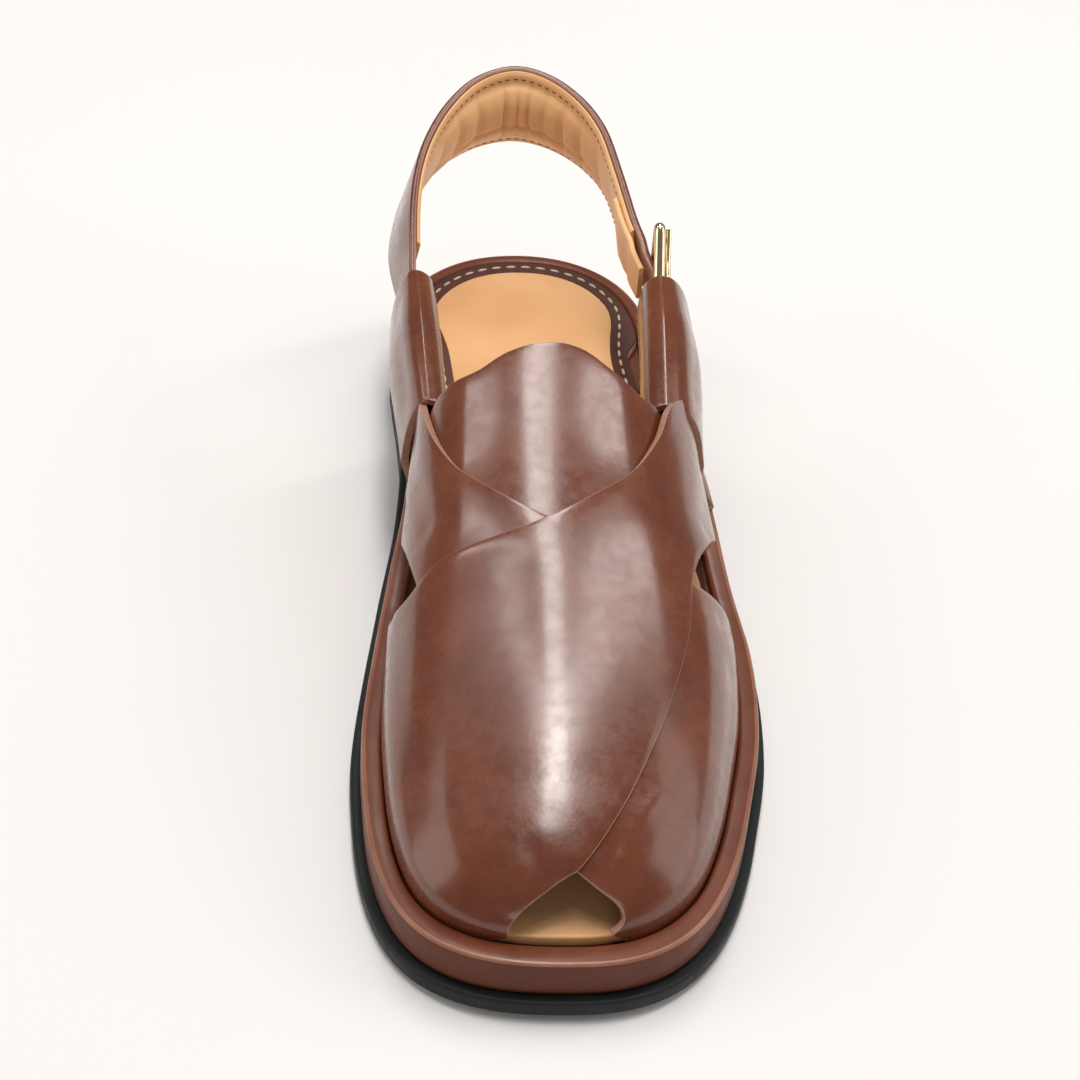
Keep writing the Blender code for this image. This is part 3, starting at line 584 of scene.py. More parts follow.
class Groove:
    """The line that the upper's outer face follows on each side, worked out once."""

    lines = {}

    @classmethod
    def x(cls, along, side):
        if side not in cls.lines:
            turns = np.linspace(0.02, math.pi - 0.02, 200) * side
            insets = [groove_inset((1 - math.cos(turn)) / 2) + CLEARANCE for turn in turns]
            points = [edge_point(turn, inset) for turn, inset in zip(turns, insets)]
            cls.lines[side] = ([p.y for p in points], [p.x for p in points])
        ys, xs = cls.lines[side]
        return float(np.interp(y_of(along), ys, xs))


def skin_point(along, across):
    """A point on the outside of the upper's form."""
    side = INNER if across < 0.5 else OUTER
    rise = min(across, 1 - across)
    foot = Groove.x(along, side)
    rim = rim_height(along)
    if rise < FOOT_SHARE:
        return Vector((foot, y_of(along), rim - (TRAY_DEPTH - CLEARANCE) * (1 - rise / FOOT_SHARE)))
    turn = (rise - FOOT_SHARE) / (0.5 - FOOT_SHARE) * math.pi / 2
    height = blend(FORM, "height", along) * INSTEP_HEIGHT
    ridge = blend(FORM, "ridge", along) * BALL_WIDTH
    bulge = blend(FORM, side_name(side) + " bulge", along) * BALL_WIDTH
    power = blend(FORM, side_name(side) + " power", along)
    reach = abs(foot - ridge) * max(math.cos(turn), 0.0) ** power
    return Vector(
        (ridge + side * (reach + bulge * math.sin(2 * turn)), y_of(along), rim + height * math.sin(turn))
    )


def skin_normal(along, across):
    small = 0.004
    back = skin_point(along + small, across) - skin_point(along - small, across)
    over = skin_point(along, min(across + small, 1)) - skin_point(along, max(across - small, 0))
    return over.cross(back).normalized()


def skin(along, across, offset):
    """A point at a distance outwards from the form. The offset fades out at the upper's feet."""
    fade = ease(min(across, 1 - across) / FADE_SHARE)
    return skin_point(along, across) + skin_normal(along, across) * offset * fade


def sleeve_point(side, along, place):
    """A point on a sleeve's outer face: place runs over its section, from the inner foot over the crest."""
    section = numbered(SLEEVE_SECTION)
    to_crest = blend(section, "to crest", place)
    reach = blend(section, "reach", place)
    height = blend(section, "height", place)
    along += SLEEVE_LEAN / SOLE_LENGTH * (1 - height)
    crest = blend(SLEEVE_RUN, side_name(side) + " crest", along) * BALL_WIDTH
    widest = blend(SLEEVE_RUN, side_name(side) + " widest", along) * BALL_WIDTH
    top = blend(SLEEVE_RUN, "height", along) * SLEEVE_HEIGHT
    if place <= CREST_SECTION:
        foot = Groove.x(along, side) - side * (STRAP_LAP + SLEEVE_WALL)
        bulge = crest - side * SLEEVE_INNER_REACH * reach
    else:
        foot = edge_x(along, side, OUTSOLE_FLARE) - side * CLEARANCE
        bulge = mix(crest, widest, reach)
    return Vector((mix(foot, bulge, to_crest), y_of(along), rim_height(along) + top * height))


def strap_slope_height(y):
    """The height of the heel strap's top edge, which rises evenly to the back."""
    return STRAP_BACK_HEIGHT - STRAP_SLOPE * (y_of(HEEL_STRAP_BACK) - y)


def buckle_x():
    return BUCKLE_ACROSS * BALL_WIDTH


@functools.lru_cache(maxsize=None)
def heel_strap_table():
    """The whole of the heel strap in metres, with the end that threads the buckle."""
    rows = [("station", "x", "y", "height", "lean", "pad", "drop")]
    for across, along, height, lean, pad, drop in HEEL_STRAP[1:]:
        rows.append((across * BALL_WIDTH, y_of(along), height, lean, pad, drop))
    inside = buckle_x() - (BUCKLE_WIRE + HEEL_STRAP_WALL) / 2 - CLEARANCE
    outside = buckle_x() + (BUCKLE_WIRE + HEEL_STRAP_WALL) / 2 + PRONG_WIRE + 2 * CLEARANCE
    for through, from_bar, height, drop in BUCKLED_END[1:]:
        x = mix(inside, outside, through)
        y = y_of(BUCKLE_ALONG) + from_bar * BUCKLE_LENGTH
        rows.append((x, y, height, 0, 0, drop))
    return (rows[0], *((station, *row) for station, row in enumerate(rows[1:])))


def strap_frame(place):
    """Where the heel strap's middle surface runs: top point, directions down and out, height and pad."""
    rows = heel_strap_table()
    small = 0.01

    def top(spot):
        y = blend(rows, "y", spot)
        height = strap_slope_height(y) - blend(rows, "drop", spot) * HEEL_STRAP_HEIGHT
        return Vector((blend(rows, "x", spot), y, height))

    point = top(place)
    onwards = (top(place + small) - top(place - small)).normalized()
    outwards = Vector((-onwards.y, onwards.x, 0)).normalized()
    height = blend(rows, "height", place) * HEEL_STRAP_HEIGHT
    lean = blend(rows, "lean", place) * STRAP_LEAN
    downwards = (Vector((0, 0, -height)) + outwards * lean).normalized()
    return point, downwards, onwards.cross(downwards).normalized(), height, blend(rows, "pad", place)


def rounded_corners(corners, radius, steps):
    """The points of a closed frame with its corners rounded."""
    points = []
    for index, corner in enumerate(corners):
        before = (corners[index - 1] - corner).normalized() * radius
        after = (corners[(index + 1) % len(corners)] - corner).normalized() * radius
        for step in range(steps + 1):
            share = step / steps
            points.append(corner + before * (1 - share) ** 2 + after * share**2)
    return points


def buckle_corners():
    """The middle line of the buckle's wire: rear bar upright, front bar lower and inside the sleeve."""
    y = y_of(BUCKLE_ALONG)
    rear = Vector((buckle_x(), y, strap_slope_height(y) + BUCKLE_RAISE - BUCKLE_WIRE / 2))
    front = rear + Vector((0, -BUCKLE_LENGTH, -BUCKLE_DROP))
    tall = Vector((0, 0, BUCKLE_HEIGHT - BUCKLE_WIRE))
    short = Vector((0, 0, BUCKLE_FRONT_HEIGHT - BUCKLE_WIRE))
    return [rear, rear - tall, front - short, front]


def prong_ends():
    """Where the prong's straight part starts by the front bar, and where its tip rests on the rear one."""
    rear_top, rear_low, front_low, front_top = buckle_corners()
    seat = Vector(((BUCKLE_WIRE + PRONG_WIRE) / 2 + CLEARANCE, 0, 0))
    tip = mix(rear_top, rear_low, PRONG_REST) + Vector((0, BUCKLE_WIRE / 2, 0))
    return (front_low + front_top) / 2 + seat, tip + seat


def fold(distance, width):
    """1 on the line of a fold, fading softly to 0 beside it."""
    return math.exp(-((distance / width) ** 2))


def crease_depth(creases, along, across):
    """How far the soft creases press the skin in at a place of the form."""
    here = Vector((along * SOLE_LENGTH, across * FORM_GIRTH))
    total = 0.0
    for start_along, start_across, end_along, end_across, width, depth in creases[1:]:
        start = Vector((start_along * SOLE_LENGTH, start_across * FORM_GIRTH))
        line = Vector((end_along * SOLE_LENGTH, end_across * FORM_GIRTH)) - start
        share = (here - start).dot(line) / line.length_squared
        nearest = start + line * min(max(share, 0.0), 1.0)
        total += depth * fold((here - nearest).length, width)
    return total


def edge_roll(distance):
    """How far a strap's skin turns down at a distance from its cut edge."""
    return EDGE_ROLL * fold(distance, EDGE_ROLL_WIDTH)


def sheet_object(name, points, materials):
    """An open sheet through rows of points, with its highest face looking up."""
    bm = bmesh.new()
    rows = [[bm.verts.new(point) for point in row] for row in points]
    for row, after in zip(rows, rows[1:]):
        for index in range(len(row) - 1):
            bm.faces.new((row[index], row[index + 1], after[index + 1], after[index]))
    bm.normal_update()
    top = max(bm.faces, key=lambda face: face.calc_center_median().z)
    if top.normal.z < 0:
        bmesh.ops.reverse_faces(bm, faces=bm.faces)
    return as_object(name, bm, materials)


def as_object(name, bm, materials):
    mesh = bpy.data.meshes.new(name)
    bm.to_mesh(mesh)
    bm.free()
    mesh.shade_smooth()
    for material in materials:
        mesh.materials.append(material)
    obj = bpy.data.objects.new(name, mesh)
    bpy.context.scene.collection.objects.link(obj)
    obj.location = SHIFT
    return obj


def thicken(obj, wall):
    """Gives a sheet its wall inwards, with a cut edge of the second material that is softly rounded."""
    shell = obj.modifiers.new("wall", "SOLIDIFY")
    shell.thickness = wall
    shell.offset = -1
    shell.use_even_offset = True
    shell.material_offset_rim = 1
    edges = obj.modifiers.new("edges", "BEVEL")
    edges.width = EDGE_ROUNDING
    edges.segments = BEVEL_SEGMENTS
    edges.limit_method = "ANGLE"
    edges.angle_limit = BEVEL_ANGLE
    edges.material = 1
    return obj


def finished(obj, node):
    """Hides the CAD node that a piece stands for, and makes the piece ride on the shoe."""
    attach(obj, "root")
    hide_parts(node)
    return obj


def closed_loft(bm, loops, look):
    """Joins closed loops of vertices one after the other, and closes both ends."""
    count = len(loops[0])
    for loop, after in zip(loops, loops[1:]):
        for index in range(count):
            onwards = (index + 1) % count
            face = bm.faces.new((loop[index], loop[onwards], after[onwards], after[index]))
            face.material_index = look(index)
    bm.faces.new(loops[0])
    bm.faces.new(loops[-1])
    bmesh.ops.recalc_face_normals(bm, faces=bm.faces)


def slab(name, rings, looks, materials):
    """A closed body from rings round the sole's outline. Each ring is (inset, height) by place along, and
    looks gives the material's number of each band between them by place along."""
    bm = bmesh.new()
    loops = []
    for inset, height in rings:
        loop = []
        for index in range(OUTLINE_STEPS):
            turn = -math.pi + 2 * math.pi * (index + 0.5) / OUTLINE_STEPS
            along = (1 - math.cos(turn)) / 2
            flat = edge_point(turn, inset(along))
            loop.append(bm.verts.new((flat.x, flat.y, height(along_of(flat.y)))))
        loops.append(loop)
    for low, high, look in zip(loops, loops[1:], looks):
        for index in range(OUTLINE_STEPS):
            after = (index + 1) % OUTLINE_STEPS
            face = bm.faces.new((low[index], low[after], high[after], high[index]))
            face.material_index = look(along_of(low[index].co.y))
    for loop in (loops[0], loops[-1]):
        for index in range(OUTLINE_STEPS // 2 - 1):
            last = OUTLINE_STEPS - 1
            bm.faces.new((loop[index], loop[index + 1], loop[last - index - 1], loop[last - index]))
    bmesh.ops.recalc_face_normals(bm, faces=bm.faces)
    obj = as_object(name, bm, materials)
    obj.data.set_sharp_from_angle(angle=SLAB_ANGLE)
    return obj


def rounded_rings(inset, height, radius, turns_out):
    """Rings round a quarter circle, from the side up to the top, or the other way if turns_out is false."""
    rings = []
    for step in range(EDGE_STEPS + 1):
        turn = math.pi / 2 * step / EDGE_STEPS
        if not turns_out:
            turn = math.pi / 2 - turn
        sideways = radius * (1 - math.cos(turn))
        down = radius * (1 - math.sin(turn))
        rings.append((moved(inset, sideways if turns_out else -sideways), moved(height, -down)))
    return rings


def moved(function, distance):
    """The same function with a distance added to what it gives."""
    return lambda along: function(along) + distance


def always(value):
    """A function that gives the same value at every place."""
    return lambda place: value


class Look:
    """A material that is being made. It reads the object's own coordinates, in metres."""

    def __init__(self, name):
        self.material = bpy.data.materials.new(name)
        self.material.use_nodes = True
        self.tree = self.material.node_tree
        self.shader = self.tree.nodes["Principled BSDF"]
        self.place = self.tree.nodes.new("ShaderNodeTexCoord").outputs["Object"]

    def add(self, kind, inputs, **settings):
        """A node with its settings, and its inputs set to a value or linked to another node's socket."""
        node = self.tree.nodes.new("ShaderNode" + kind)
        for key, value in settings.items():
            setattr(node, key, value)
        for key, value in inputs.items():
            if isinstance(value, bpy.types.NodeSocket):
                self.tree.links.new(value, node.inputs[key])
            else:
                node.inputs[key].default_value = value
        return node

    def stretched(self, along, across, up):
        """The object's coordinates, scaled differently on each axis."""
        return self.add("Mapping", {"Vector": self.place, "Scale": (across, along, up)}).outputs["Vector"]

    def clouds(self, size, detail=3.0, roughness=0.5, place=None):
        """Soft noise whose patches are about size across."""
        inputs = {"Scale": 1 / size, "Detail": detail, "Roughness": roughness, "Vector": place or self.place}
        return self.add("TexNoise", inputs).outputs["Fac"]

    def pores(self, size):
        """Distance to the nearest of scattered points, which gives small cells."""
        inputs = {"Vector": self.place, "Scale": 1 / size, "Randomness": 1.0}
        return self.add("TexVoronoi", inputs).outputs["Distance"]

    def ranged(self, value, low, high, start=0.35, end=0.65):
        """A value between start and end, spread from low to high."""
        inputs = {"Value": value, "From Min": start, "From Max": end, "To Min": low, "To Max": high}
        return self.add("MapRange", inputs).outputs["Result"]

    def blended(self, share, first, second):
        """A colour between two others. The node's colour sockets are its seventh and eighth."""
        node = self.add("Mix", {"Factor": share}, data_type="RGBA")
        node.inputs[6].default_value = (*first, 1)
        node.inputs[7].default_value = (*second, 1)
        return node.outputs[2]

    def joined(self, first, second, share):
        """A number between two others. The node's number sockets are its third and fourth."""
        node = self.add("Mix", {"Factor": share}, data_type="FLOAT")
        self.tree.links.new(first, node.inputs[2])
        self.tree.links.new(second, node.inputs[3])
        return node.outputs[0]

    def relief(self, height, depth, strength):
        """Raises the surface by height, which runs from 0 to 1, times depth in metres."""
        bump = self.add("Bump", {"Height": height, "Distance": depth, "Strength": strength})
        self.tree.links.new(bump.outputs["Normal"], self.shader.inputs["Normal"])

    def set(self, name, value):
        """Gives one of the shader's sockets a value, or another node's result."""
        if isinstance(value, bpy.types.NodeSocket):
            self.tree.links.new(value, self.shader.inputs[name])
        else:
            self.shader.inputs[name].default_value = value


def polished_leather(name, bright, dark, roughness, coat, shine=0.5):
    """Smooth polished leather: cloudy colour, fine grain, small pores and a thin coat."""
    look = Look(name)
    patches = look.clouds(size=0.022, detail=4.0, roughness=0.6)
    lengthwise = look.stretched(along=0.35, across=1.0, up=1.0)
    streaks = look.clouds(size=0.006, detail=3.0, roughness=0.6, place=lengthwise)
    cloud = look.joined(patches, streaks, share=0.35)
    look.set("Base Color", look.blended(look.ranged(cloud, 0.0, 1.0, start=0.30, end=0.72), dark, bright))
    fine = look.clouds(size=0.00042, detail=2.0, roughness=0.6)
    cells = look.pores(size=0.0011)
    look.relief(look.joined(fine, cells, share=0.45), depth=0.00005, strength=0.55)
    gloss = look.clouds(size=0.004, detail=4.0, roughness=0.65)
    look.set("Roughness", look.ranged(gloss, low=roughness - 0.05, high=roughness + 0.09))
    look.set("Coat Weight", coat)
    look.set("Coat Roughness", 0.13)
    look.set("Specular IOR Level", shine)
    return look.material


def cut_edge_leather():
    """The pale cut edge of a strap, slightly fibrous."""
    look = Look("cut_edge")
    fibres = look.clouds(size=0.0008, detail=3.0, roughness=0.6)
    look.set("Base Color", look.blended(look.ranged(fibres, 0.0, 1.0), CUT_EDGE, CUT_SHADE))
    look.relief(fibres, depth=0.00006, strength=0.6)
    look.set("Roughness", 0.5)
    return look.material


def lining_leather(name, wrinkled, depth):
    """Smooth matte tan leather with faint clouds and fine grain. wrinkled is the share of wrinkles in it."""
    look = Look(name)
    patches = look.clouds(size=0.03, detail=3.0, roughness=0.5)
    look.set("Base Color", look.blended(look.ranged(patches, 0.0, 1.0), TAN, TAN_SHADE))
    fine = look.clouds(size=0.0005, detail=2.0, roughness=0.6)
    upright = look.stretched(along=1.0, across=1.0, up=0.45)
    wrinkles = look.clouds(size=0.0035, detail=3.0, roughness=0.55, place=upright)
    look.relief(look.joined(fine, wrinkles, share=wrinkled), depth, strength=0.6)
    look.set("Roughness", look.ranged(patches, low=0.42, high=0.56))
    look.set("Sheen Weight", 0.12)
    return look.material


def rubber_look():
    """Near-black rubber with a slightly green cast and a fine moulded texture."""
    look = Look("rubber")
    worn = look.ranged(look.clouds(size=0.012), 0.0, 1.0)
    look.set("Base Color", look.blended(worn, RUBBER_BLACK, RUBBER_WORN))
    look.relief(look.clouds(size=0.0006, detail=3.0, roughness=0.6), depth=0.00008, strength=0.6)
    look.set("Roughness", look.ranged(look.clouds(size=0.006), low=0.46, high=0.60))
    look.set("Specular IOR Level", 0.3)
    return look.material


def gold_look():
    """Polished pale gold plating with faint clouds in its gloss."""
    look = Look("pale_gold")
    clouds = look.clouds(size=0.003, detail=3.0, roughness=0.5)
    look.set("Base Color", look.blended(look.ranged(clouds, 0.0, 1.0), PALE_GOLD, GOLD_SHADE))
    look.set("Metallic", 1.0)
    look.set("Roughness", look.ranged(clouds, low=0.09, high=0.17))
    look.relief(look.clouds(size=0.0012), depth=0.00001, strength=0.5)
    return look.material


def shaded(tone, share):
    return tuple(part * share for part in tone)


def thread_look(name, tone):
    """Matte twisted thread."""
    look = Look(name)
    twist = look.clouds(size=0.0004, detail=2.0, roughness=0.6)
    look.set("Base Color", look.blended(look.ranged(twist, 0.0, 1.0), tone, shaded(tone, THREAD_SHADE)))
    look.relief(twist, depth=0.00006, strength=0.7)
    look.set("Roughness", 0.6)
    return look.material


def floor_look():
    look = Look("floor")
    tones = look.blended(look.clouds(size=0.5), FLOOR_PALE, shaded(FLOOR_PALE, FLOOR_SHADE))
    look.set("Base Color", tones)
    look.set("Roughness", 0.75)
    return look.material


# edge is the painted highlight for the midsole's rounded outer edge
def make_sole(leather, side_leather, edge, insole_leather, band, rubber, thread):
    finished(make_outsole(rubber), "outsole")
    finished(make_midsole(leather, side_leather, edge), "midsole")
    insole = make_insole(insole_leather, band)
    finished(insole, "insole")
    stitches = stitch_row("heel_stitches", band_line(), BAND_STITCH, BAND_PITCH, BAND_THREAD, thread)
    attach(stitches, "root")


def make_outsole(rubber):
    def top(along):
        return underside(along) + OUTSOLE_THICKNESS - CLEARANCE

    chamfer = OUTSOLE_ROUNDING * OUTSOLE_CHAMFER
    low = [
        (always(OUTSOLE_ROUNDING), underside),
        (always(chamfer), moved(underside, chamfer)),
        (always(0.0), moved(underside, OUTSOLE_ROUNDING)),
    ]
    rings = [*low, *rounded_rings(always(0.0), top, OUTSOLE_ROUNDING, True)]
    return slab("outsole_rubber", rings, [always(0)] * (len(rings) - 1), [rubber])


def make_midsole(leather, side_leather, edge):
    """The leather-covered platform: foot line, side wall, a painted highlight on the rounded outer edge, flat
    rim and tray.
    """

    def bottom(along):
        return underside(along) + OUTSOLE_THICKNESS

    foot = [
        (always(OUTSOLE_FLARE + RIM_BEAD), bottom),
        (always(OUTSOLE_FLARE + RIM_BEAD), moved(bottom, RIM_BEAD)),
        (always(OUTSOLE_FLARE), moved(bottom, 2 * RIM_BEAD)),
    ]
    outer = rounded_rings(always(OUTSOLE_FLARE), rim_height, RIM_ROUNDING, True)
    inner = rounded_rings(groove_inset, rim_height, RIM_ROUNDING, False)
    tray = [(groove_inset, moved(rim_height, -TRAY_DEPTH))]
    rings = [*foot, *outer, *inner, *tray]
    # The rounded outer edge between the side wall and the rim takes the painted highlight
    wall, line, rim = always(1), always(2), always(0)
    looks = [wall] * (len(foot) + 1) + [line] * (EDGE_STEPS - 1) + [rim] * (len(inner) + len(tray))
    return slab("midsole_leather", rings, looks, [leather, side_leather, edge])


def band_inset(along):
    """The heel band's inner edge, which bends in where the insole narrows for the sleeves."""
    bend = BAND_BEND * ease((BAND_BEND_START - along) / BAND_BEND_LENGTH)
    return groove_inset(along) + CLEARANCE + BAND_WIDTH + bend


def insole_top(along):
    return rim_height(along) - TRAY_DEPTH + CLEARANCE + INSOLE_THICKNESS


def make_insole(insole_leather, band):
    """The footbed, with the dark band round its heel standing a little proud of it."""

    def bottom(along):
        return rim_height(along) - TRAY_DEPTH + CLEARANCE

    def banded(rise):
        return lambda along: insole_top(along) + rise * ease((along - BAND_START) / BAND_FADE)

    def band_look(along):
        return 1 if along > BAND_START else 0

    rounding = INSOLE_THICKNESS / 4
    rim = rounded_rings(insole_inset, banded(BAND_RISE), rounding, True)
    rings = [
        (insole_inset, bottom),
        *rim,
        (band_inset, banded(BAND_RISE)),
        (moved(band_inset, BAND_RISE), insole_top),
        (moved(band_inset, BAND_SLOPE * BAND_RISE), insole_top),
    ]
    looks = [always(0), *[band_look] * (EDGE_STEPS + 2), always(0)]
    return slab("footbed", rings, looks, [insole_leather, band])


def band_line():
    """The line of stitches in the heel band, from the outer side round to the inner side."""
    points = []
    first = math.acos(1 - 2 * (BAND_START + BAND_FADE))
    for step in range(OUTLINE_STEPS + 1):
        turn = mix(first, 2 * math.pi - first, step / OUTLINE_STEPS)
        along = (1 - math.cos(turn)) / 2
        flat = edge_point(turn, band_inset(along) - BAND_SEAM)
        points.append(Vector((flat.x, flat.y, insole_top(along_of(flat.y)) + BAND_RISE)))
    return points


def stitch_row(name, line, dash, pitch, radius, material):
    """Short rounded threads, laid one after the other along a line of points."""
    steps = [0.0]
    for before, after in zip(line, line[1:]):
        steps.append(steps[-1] + (after - before).length)

    def spot(distance):
        row = min(max(bisect.bisect_right(steps, distance) - 1, 0), len(line) - 2)
        step = max(steps[row + 1] - steps[row], TINY)
        return mix(line[row], line[row + 1], (distance - steps[row]) / step)

    bm = bmesh.new()
    for index in range(int((steps[-1] - dash) / pitch)):
        start = spot(index * pitch)
        end = spot(index * pitch + dash)
        turn = (end - start).to_track_quat("Z", "Y").to_matrix().to_4x4()
        stretch = Matrix.Diagonal((radius, radius, dash / 2, 1))
        place = Matrix.Translation((start + end) / 2) @ turn @ stretch
        count = THREAD_SEGMENTS
        bmesh.ops.create_uvsphere(bm, u_segments=count, v_segments=count, radius=1.0, matrix=place)
    return as_object(name, bm, [material])


def crossed_strap(name, table, creases, offset, materials):
    last = len(table) - 2
    places = [0, *np.linspace(1, last - 1, STRAP_SECTIONS), last]
    shares = [(step / STRAP_COLUMNS) ** STRAP_CROWDING for step in range(STRAP_COLUMNS + 1)]
    rows = [[strap_skin(table, creases, place, share, offset) for share in shares] for place in places]
    strap = thicken(sheet_object(name, rows, materials), UPPER_WALL)
    return finished(strap, "upper")


def strap_skin(table, creases, section, share, offset):
    """A point of a strap's skin, with its soft creases and its edges turned down."""
    sections = numbered(table)
    across = mix(blend(sections, "front across", section), blend(sections, "rear across", section), share)
    across = min(max(across, 0.0), 1.0)
    front = blend(sections, "front along", section)
    rear = blend(sections, "rear along", section)
    along = mix(front, rear, share)
    width = abs(rear - front) * SOLE_LENGTH
    pressed = crease_depth(creases, along, across) + edge_roll(share * width)
    pressed += edge_roll((1 - share) * width)
    return skin(along, across, offset - pressed)


def make_sleeve(side, materials):
    """A folded side sleeve: rows from its front opening to its rear one, with soft creases along it."""
    first, *_, last = column(SLEEVE_RUN, "along")
    places = [0, *np.linspace(1, len(SLEEVE_SECTION) - 2, SLEEVE_COLUMNS)]
    rows = []
    for index in range(SLEEVE_SECTIONS + 1):
        share = index / SLEEVE_SECTIONS
        row = []
        for place in places:
            point = sleeve_point(side, mix(first, last, share), place)
            depth = sum(deep * fold(place - middle, width) for middle, width, deep in SLEEVE_CREASES[1:])
            outwards = -side if place < CREST_SECTION else side
            fades = ease(share / SLEEVE_FADE) * ease((1 - share) / SLEEVE_FADE)
            fades *= ease(place / SLEEVE_FOOT_ROWS)
            row.append(point - Vector((outwards * depth * fades, 0, 0)))
        rows.append(row)
    sleeve = thicken(sheet_object(side_name(side) + "_sleeve", rows, materials), SLEEVE_WALL)
    return finished(sleeve, "upper")


def make_tongue(materials):
    rows = []
    first, *_, last = column(TONGUE, "across")
    for index in range(TONGUE_SECTIONS + 1):
        across = mix(first, last, index / TONGUE_SECTIONS)
        front = blend(TONGUE, "front along", across)
        rear = blend(TONGUE, "rear along", across)
        row = []
        for step in range(TONGUE_COLUMNS + 1):
            along = mix(front, rear, step / TONGUE_COLUMNS)
            pressed = crease_depth(TONGUE_CREASES, along, across) + edge_roll((rear - along) * SOLE_LENGTH)
            row.append(skin(along, across, -UPPER_WALL - CLEARANCE - pressed))
        rows.append(row)
    tongue = thicken(sheet_object("tongue_leather", rows, materials), TONGUE_WALL)
    return finished(tongue, "tongue")


def ribbon(name, first, last, profile, look, materials):
    """A closed loft along the heel strap. The profile gives (share of height, distance out) by station."""
    bm = bmesh.new()
    loops = []
    for place in np.linspace(first, last, round((last - first) / STATION_STEP) + 1):
        point, downwards, outwards, height, pad = strap_frame(place)
        section = profile(place, pad)
        loops.append([bm.verts.new(point + downwards * height * a + outwards * b) for a, b in section])
    closed_loft(bm, loops, look)
    obj = as_object(name, bm, materials)
    obj.data.set_sharp_from_angle(angle=RIBBON_ANGLE)
    return obj


def rounded_section(top, bottom, half, seat):
    """The section of a strip with round edges, between two shares of the heel strap's height. It starts on
    the inner side of the top edge and ends on the inner side of the bottom one."""
    trim = half / HEEL_STRAP_HEIGHT
    section = []
    for middle, start in ((top + trim, math.pi), (bottom - trim, 0.0)):
        for step in range(2 * EDGE_STEPS + 1):
            turn = start - math.pi * step / (2 * EDGE_STEPS)
            section.append((middle - trim * math.sin(turn), half * math.cos(turn) - seat))
    return section


def make_heel_strap(leather, edge):
    """The strap round the heel: brown, with a pale line along the inner side of its folded edges."""
    section = rounded_section(0.0, 1.0, HEEL_STRAP_WALL / 2, 0.0)
    lines = {*range(EDGE_STEPS - 1), *range(4 * EDGE_STEPS - 1, 4 * EDGE_STEPS + 2)}

    def look(index):
        return 1 if index in lines else 0

    last = len(heel_strap_table()) - 2
    strap = ribbon("heel_strap_leather", 0, last, lambda place, pad: section, look, [leather, edge])
    start, end = prong_ends()
    drill(strap, start - (end - start) / 4, end, PRONG_WIRE / 2 + CLEARANCE)
    return finished(strap, "heel_strap")


def drill(obj, start, end, radius):
    """Cuts a round hole through a piece."""
    bm = bmesh.new()
    turn = (end - start).to_track_quat("Z", "Y").to_matrix().to_4x4()
    bmesh.ops.create_cone(
        bm,
        cap_ends=True,
        segments=ROD_SEGMENTS,
        radius1=radius,
        radius2=radius,
        depth=(end - start).length,
        matrix=Matrix.Translation((start + end) / 2) @ turn,
    )
    cutter = as_object(obj.name + "_hole", bm, [obj.data.materials[0]])
    cut = obj.modifiers.new("hole", "BOOLEAN")
    cut.operation = "DIFFERENCE"
    cut.object = cutter
    bpy.context.view_layer.update()
    graph = bpy.context.evaluated_depsgraph_get()
    drilled = bpy.data.meshes.new_from_object(obj.evaluated_get(graph))
    obj.modifiers.clear()
    obj.data = drilled
    bpy.data.objects.remove(cutter)


def lining_distance(place, share, pad):
    """How far the heel lining's face stands in from the strap, with its swelling, grooves and pleats."""
    seat = HEEL_STRAP_WALL / 2 + CLEARANCE
    swelling = blend(LINING_SECTION, "swell", share) * pad * (PAD_THICKNESS - LINING_WALL)
    body = max(math.sin(math.pi * min(max((share - PLEAT_TOP) / PLEAT_LENGTH, 0.0), 1.0)), 0.0)
    pleats = sum(depth * fold(place - station, width) for station, width, depth in PLEATS[1:])
    arch = PAD_GROOVE + PAD_ARCH * (1 - pad)
    grooves = fold(share - arch, PAD_GROOVE_WIDTH) + fold(share - PAD_CREASE, PAD_GROOVE_WIDTH)
    thickness = LINING_WALL * blend(LINING_SECTION, "wall", share) + swelling
    pressed = pleats * body * mix(PLEAT_LEAST, 1.0, pad) + PAD_GROOVE_DEPTH * grooves * pad
    return -seat - max(thickness - pressed, LINING_WALL * LINING_LEAST)


def make_heel_lining(lining, thread):
    """The tan lining inside the heel strap. It swells to a pleated pad round the back of the heel."""
    seat = HEEL_STRAP_WALL / 2 + CLEARANCE
    shares = np.linspace(LINING_TOP, LINING_BOTTOM, LINING_ROWS)

    def profile(place, pad):
        face = [(share, lining_distance(place, share, pad)) for share in shares]
        return [(LINING_TOP, -seat), *face, (LINING_BOTTOM, -seat)]

    piece = ribbon("heel_lining", PAD_FIRST, PAD_LAST, profile, always(0), [lining])
    finished(piece, "heel_pad")
    for name, share in (("top_seam", TOP_SEAM), ("bottom_seam", BOTTOM_SEAM)):
        line = []
        for place in np.arange(PAD_FIRST + SEAM_MARGIN, PAD_LAST - SEAM_MARGIN, STATION_STEP):
            point, downwards, outwards, height, pad = strap_frame(place)
            line.append(point + downwards * height * share + outwards * lining_distance(place, share, pad))
        seam = stitch_row(name, line, STRAP_STITCH, STRAP_PITCH, STRAP_THREAD, thread)
        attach(seam, "root")


def make_guard(lining):
    """The tan tab between the foot and the buckle, with rounded edges."""
    seat = HEEL_STRAP_WALL / 2 + LINING_WALL + 2 * CLEARANCE + GUARD_WALL / 2
    section = rounded_section(GUARD_TOP, GUARD_BOTTOM, GUARD_WALL / 2, seat)

    def profile(place, pad):
        return section

    guard = ribbon("guard_tab", GUARD_FIRST, GUARD_LAST, profile, always(0), [lining])
    return finished(guard, "buckle_guard")


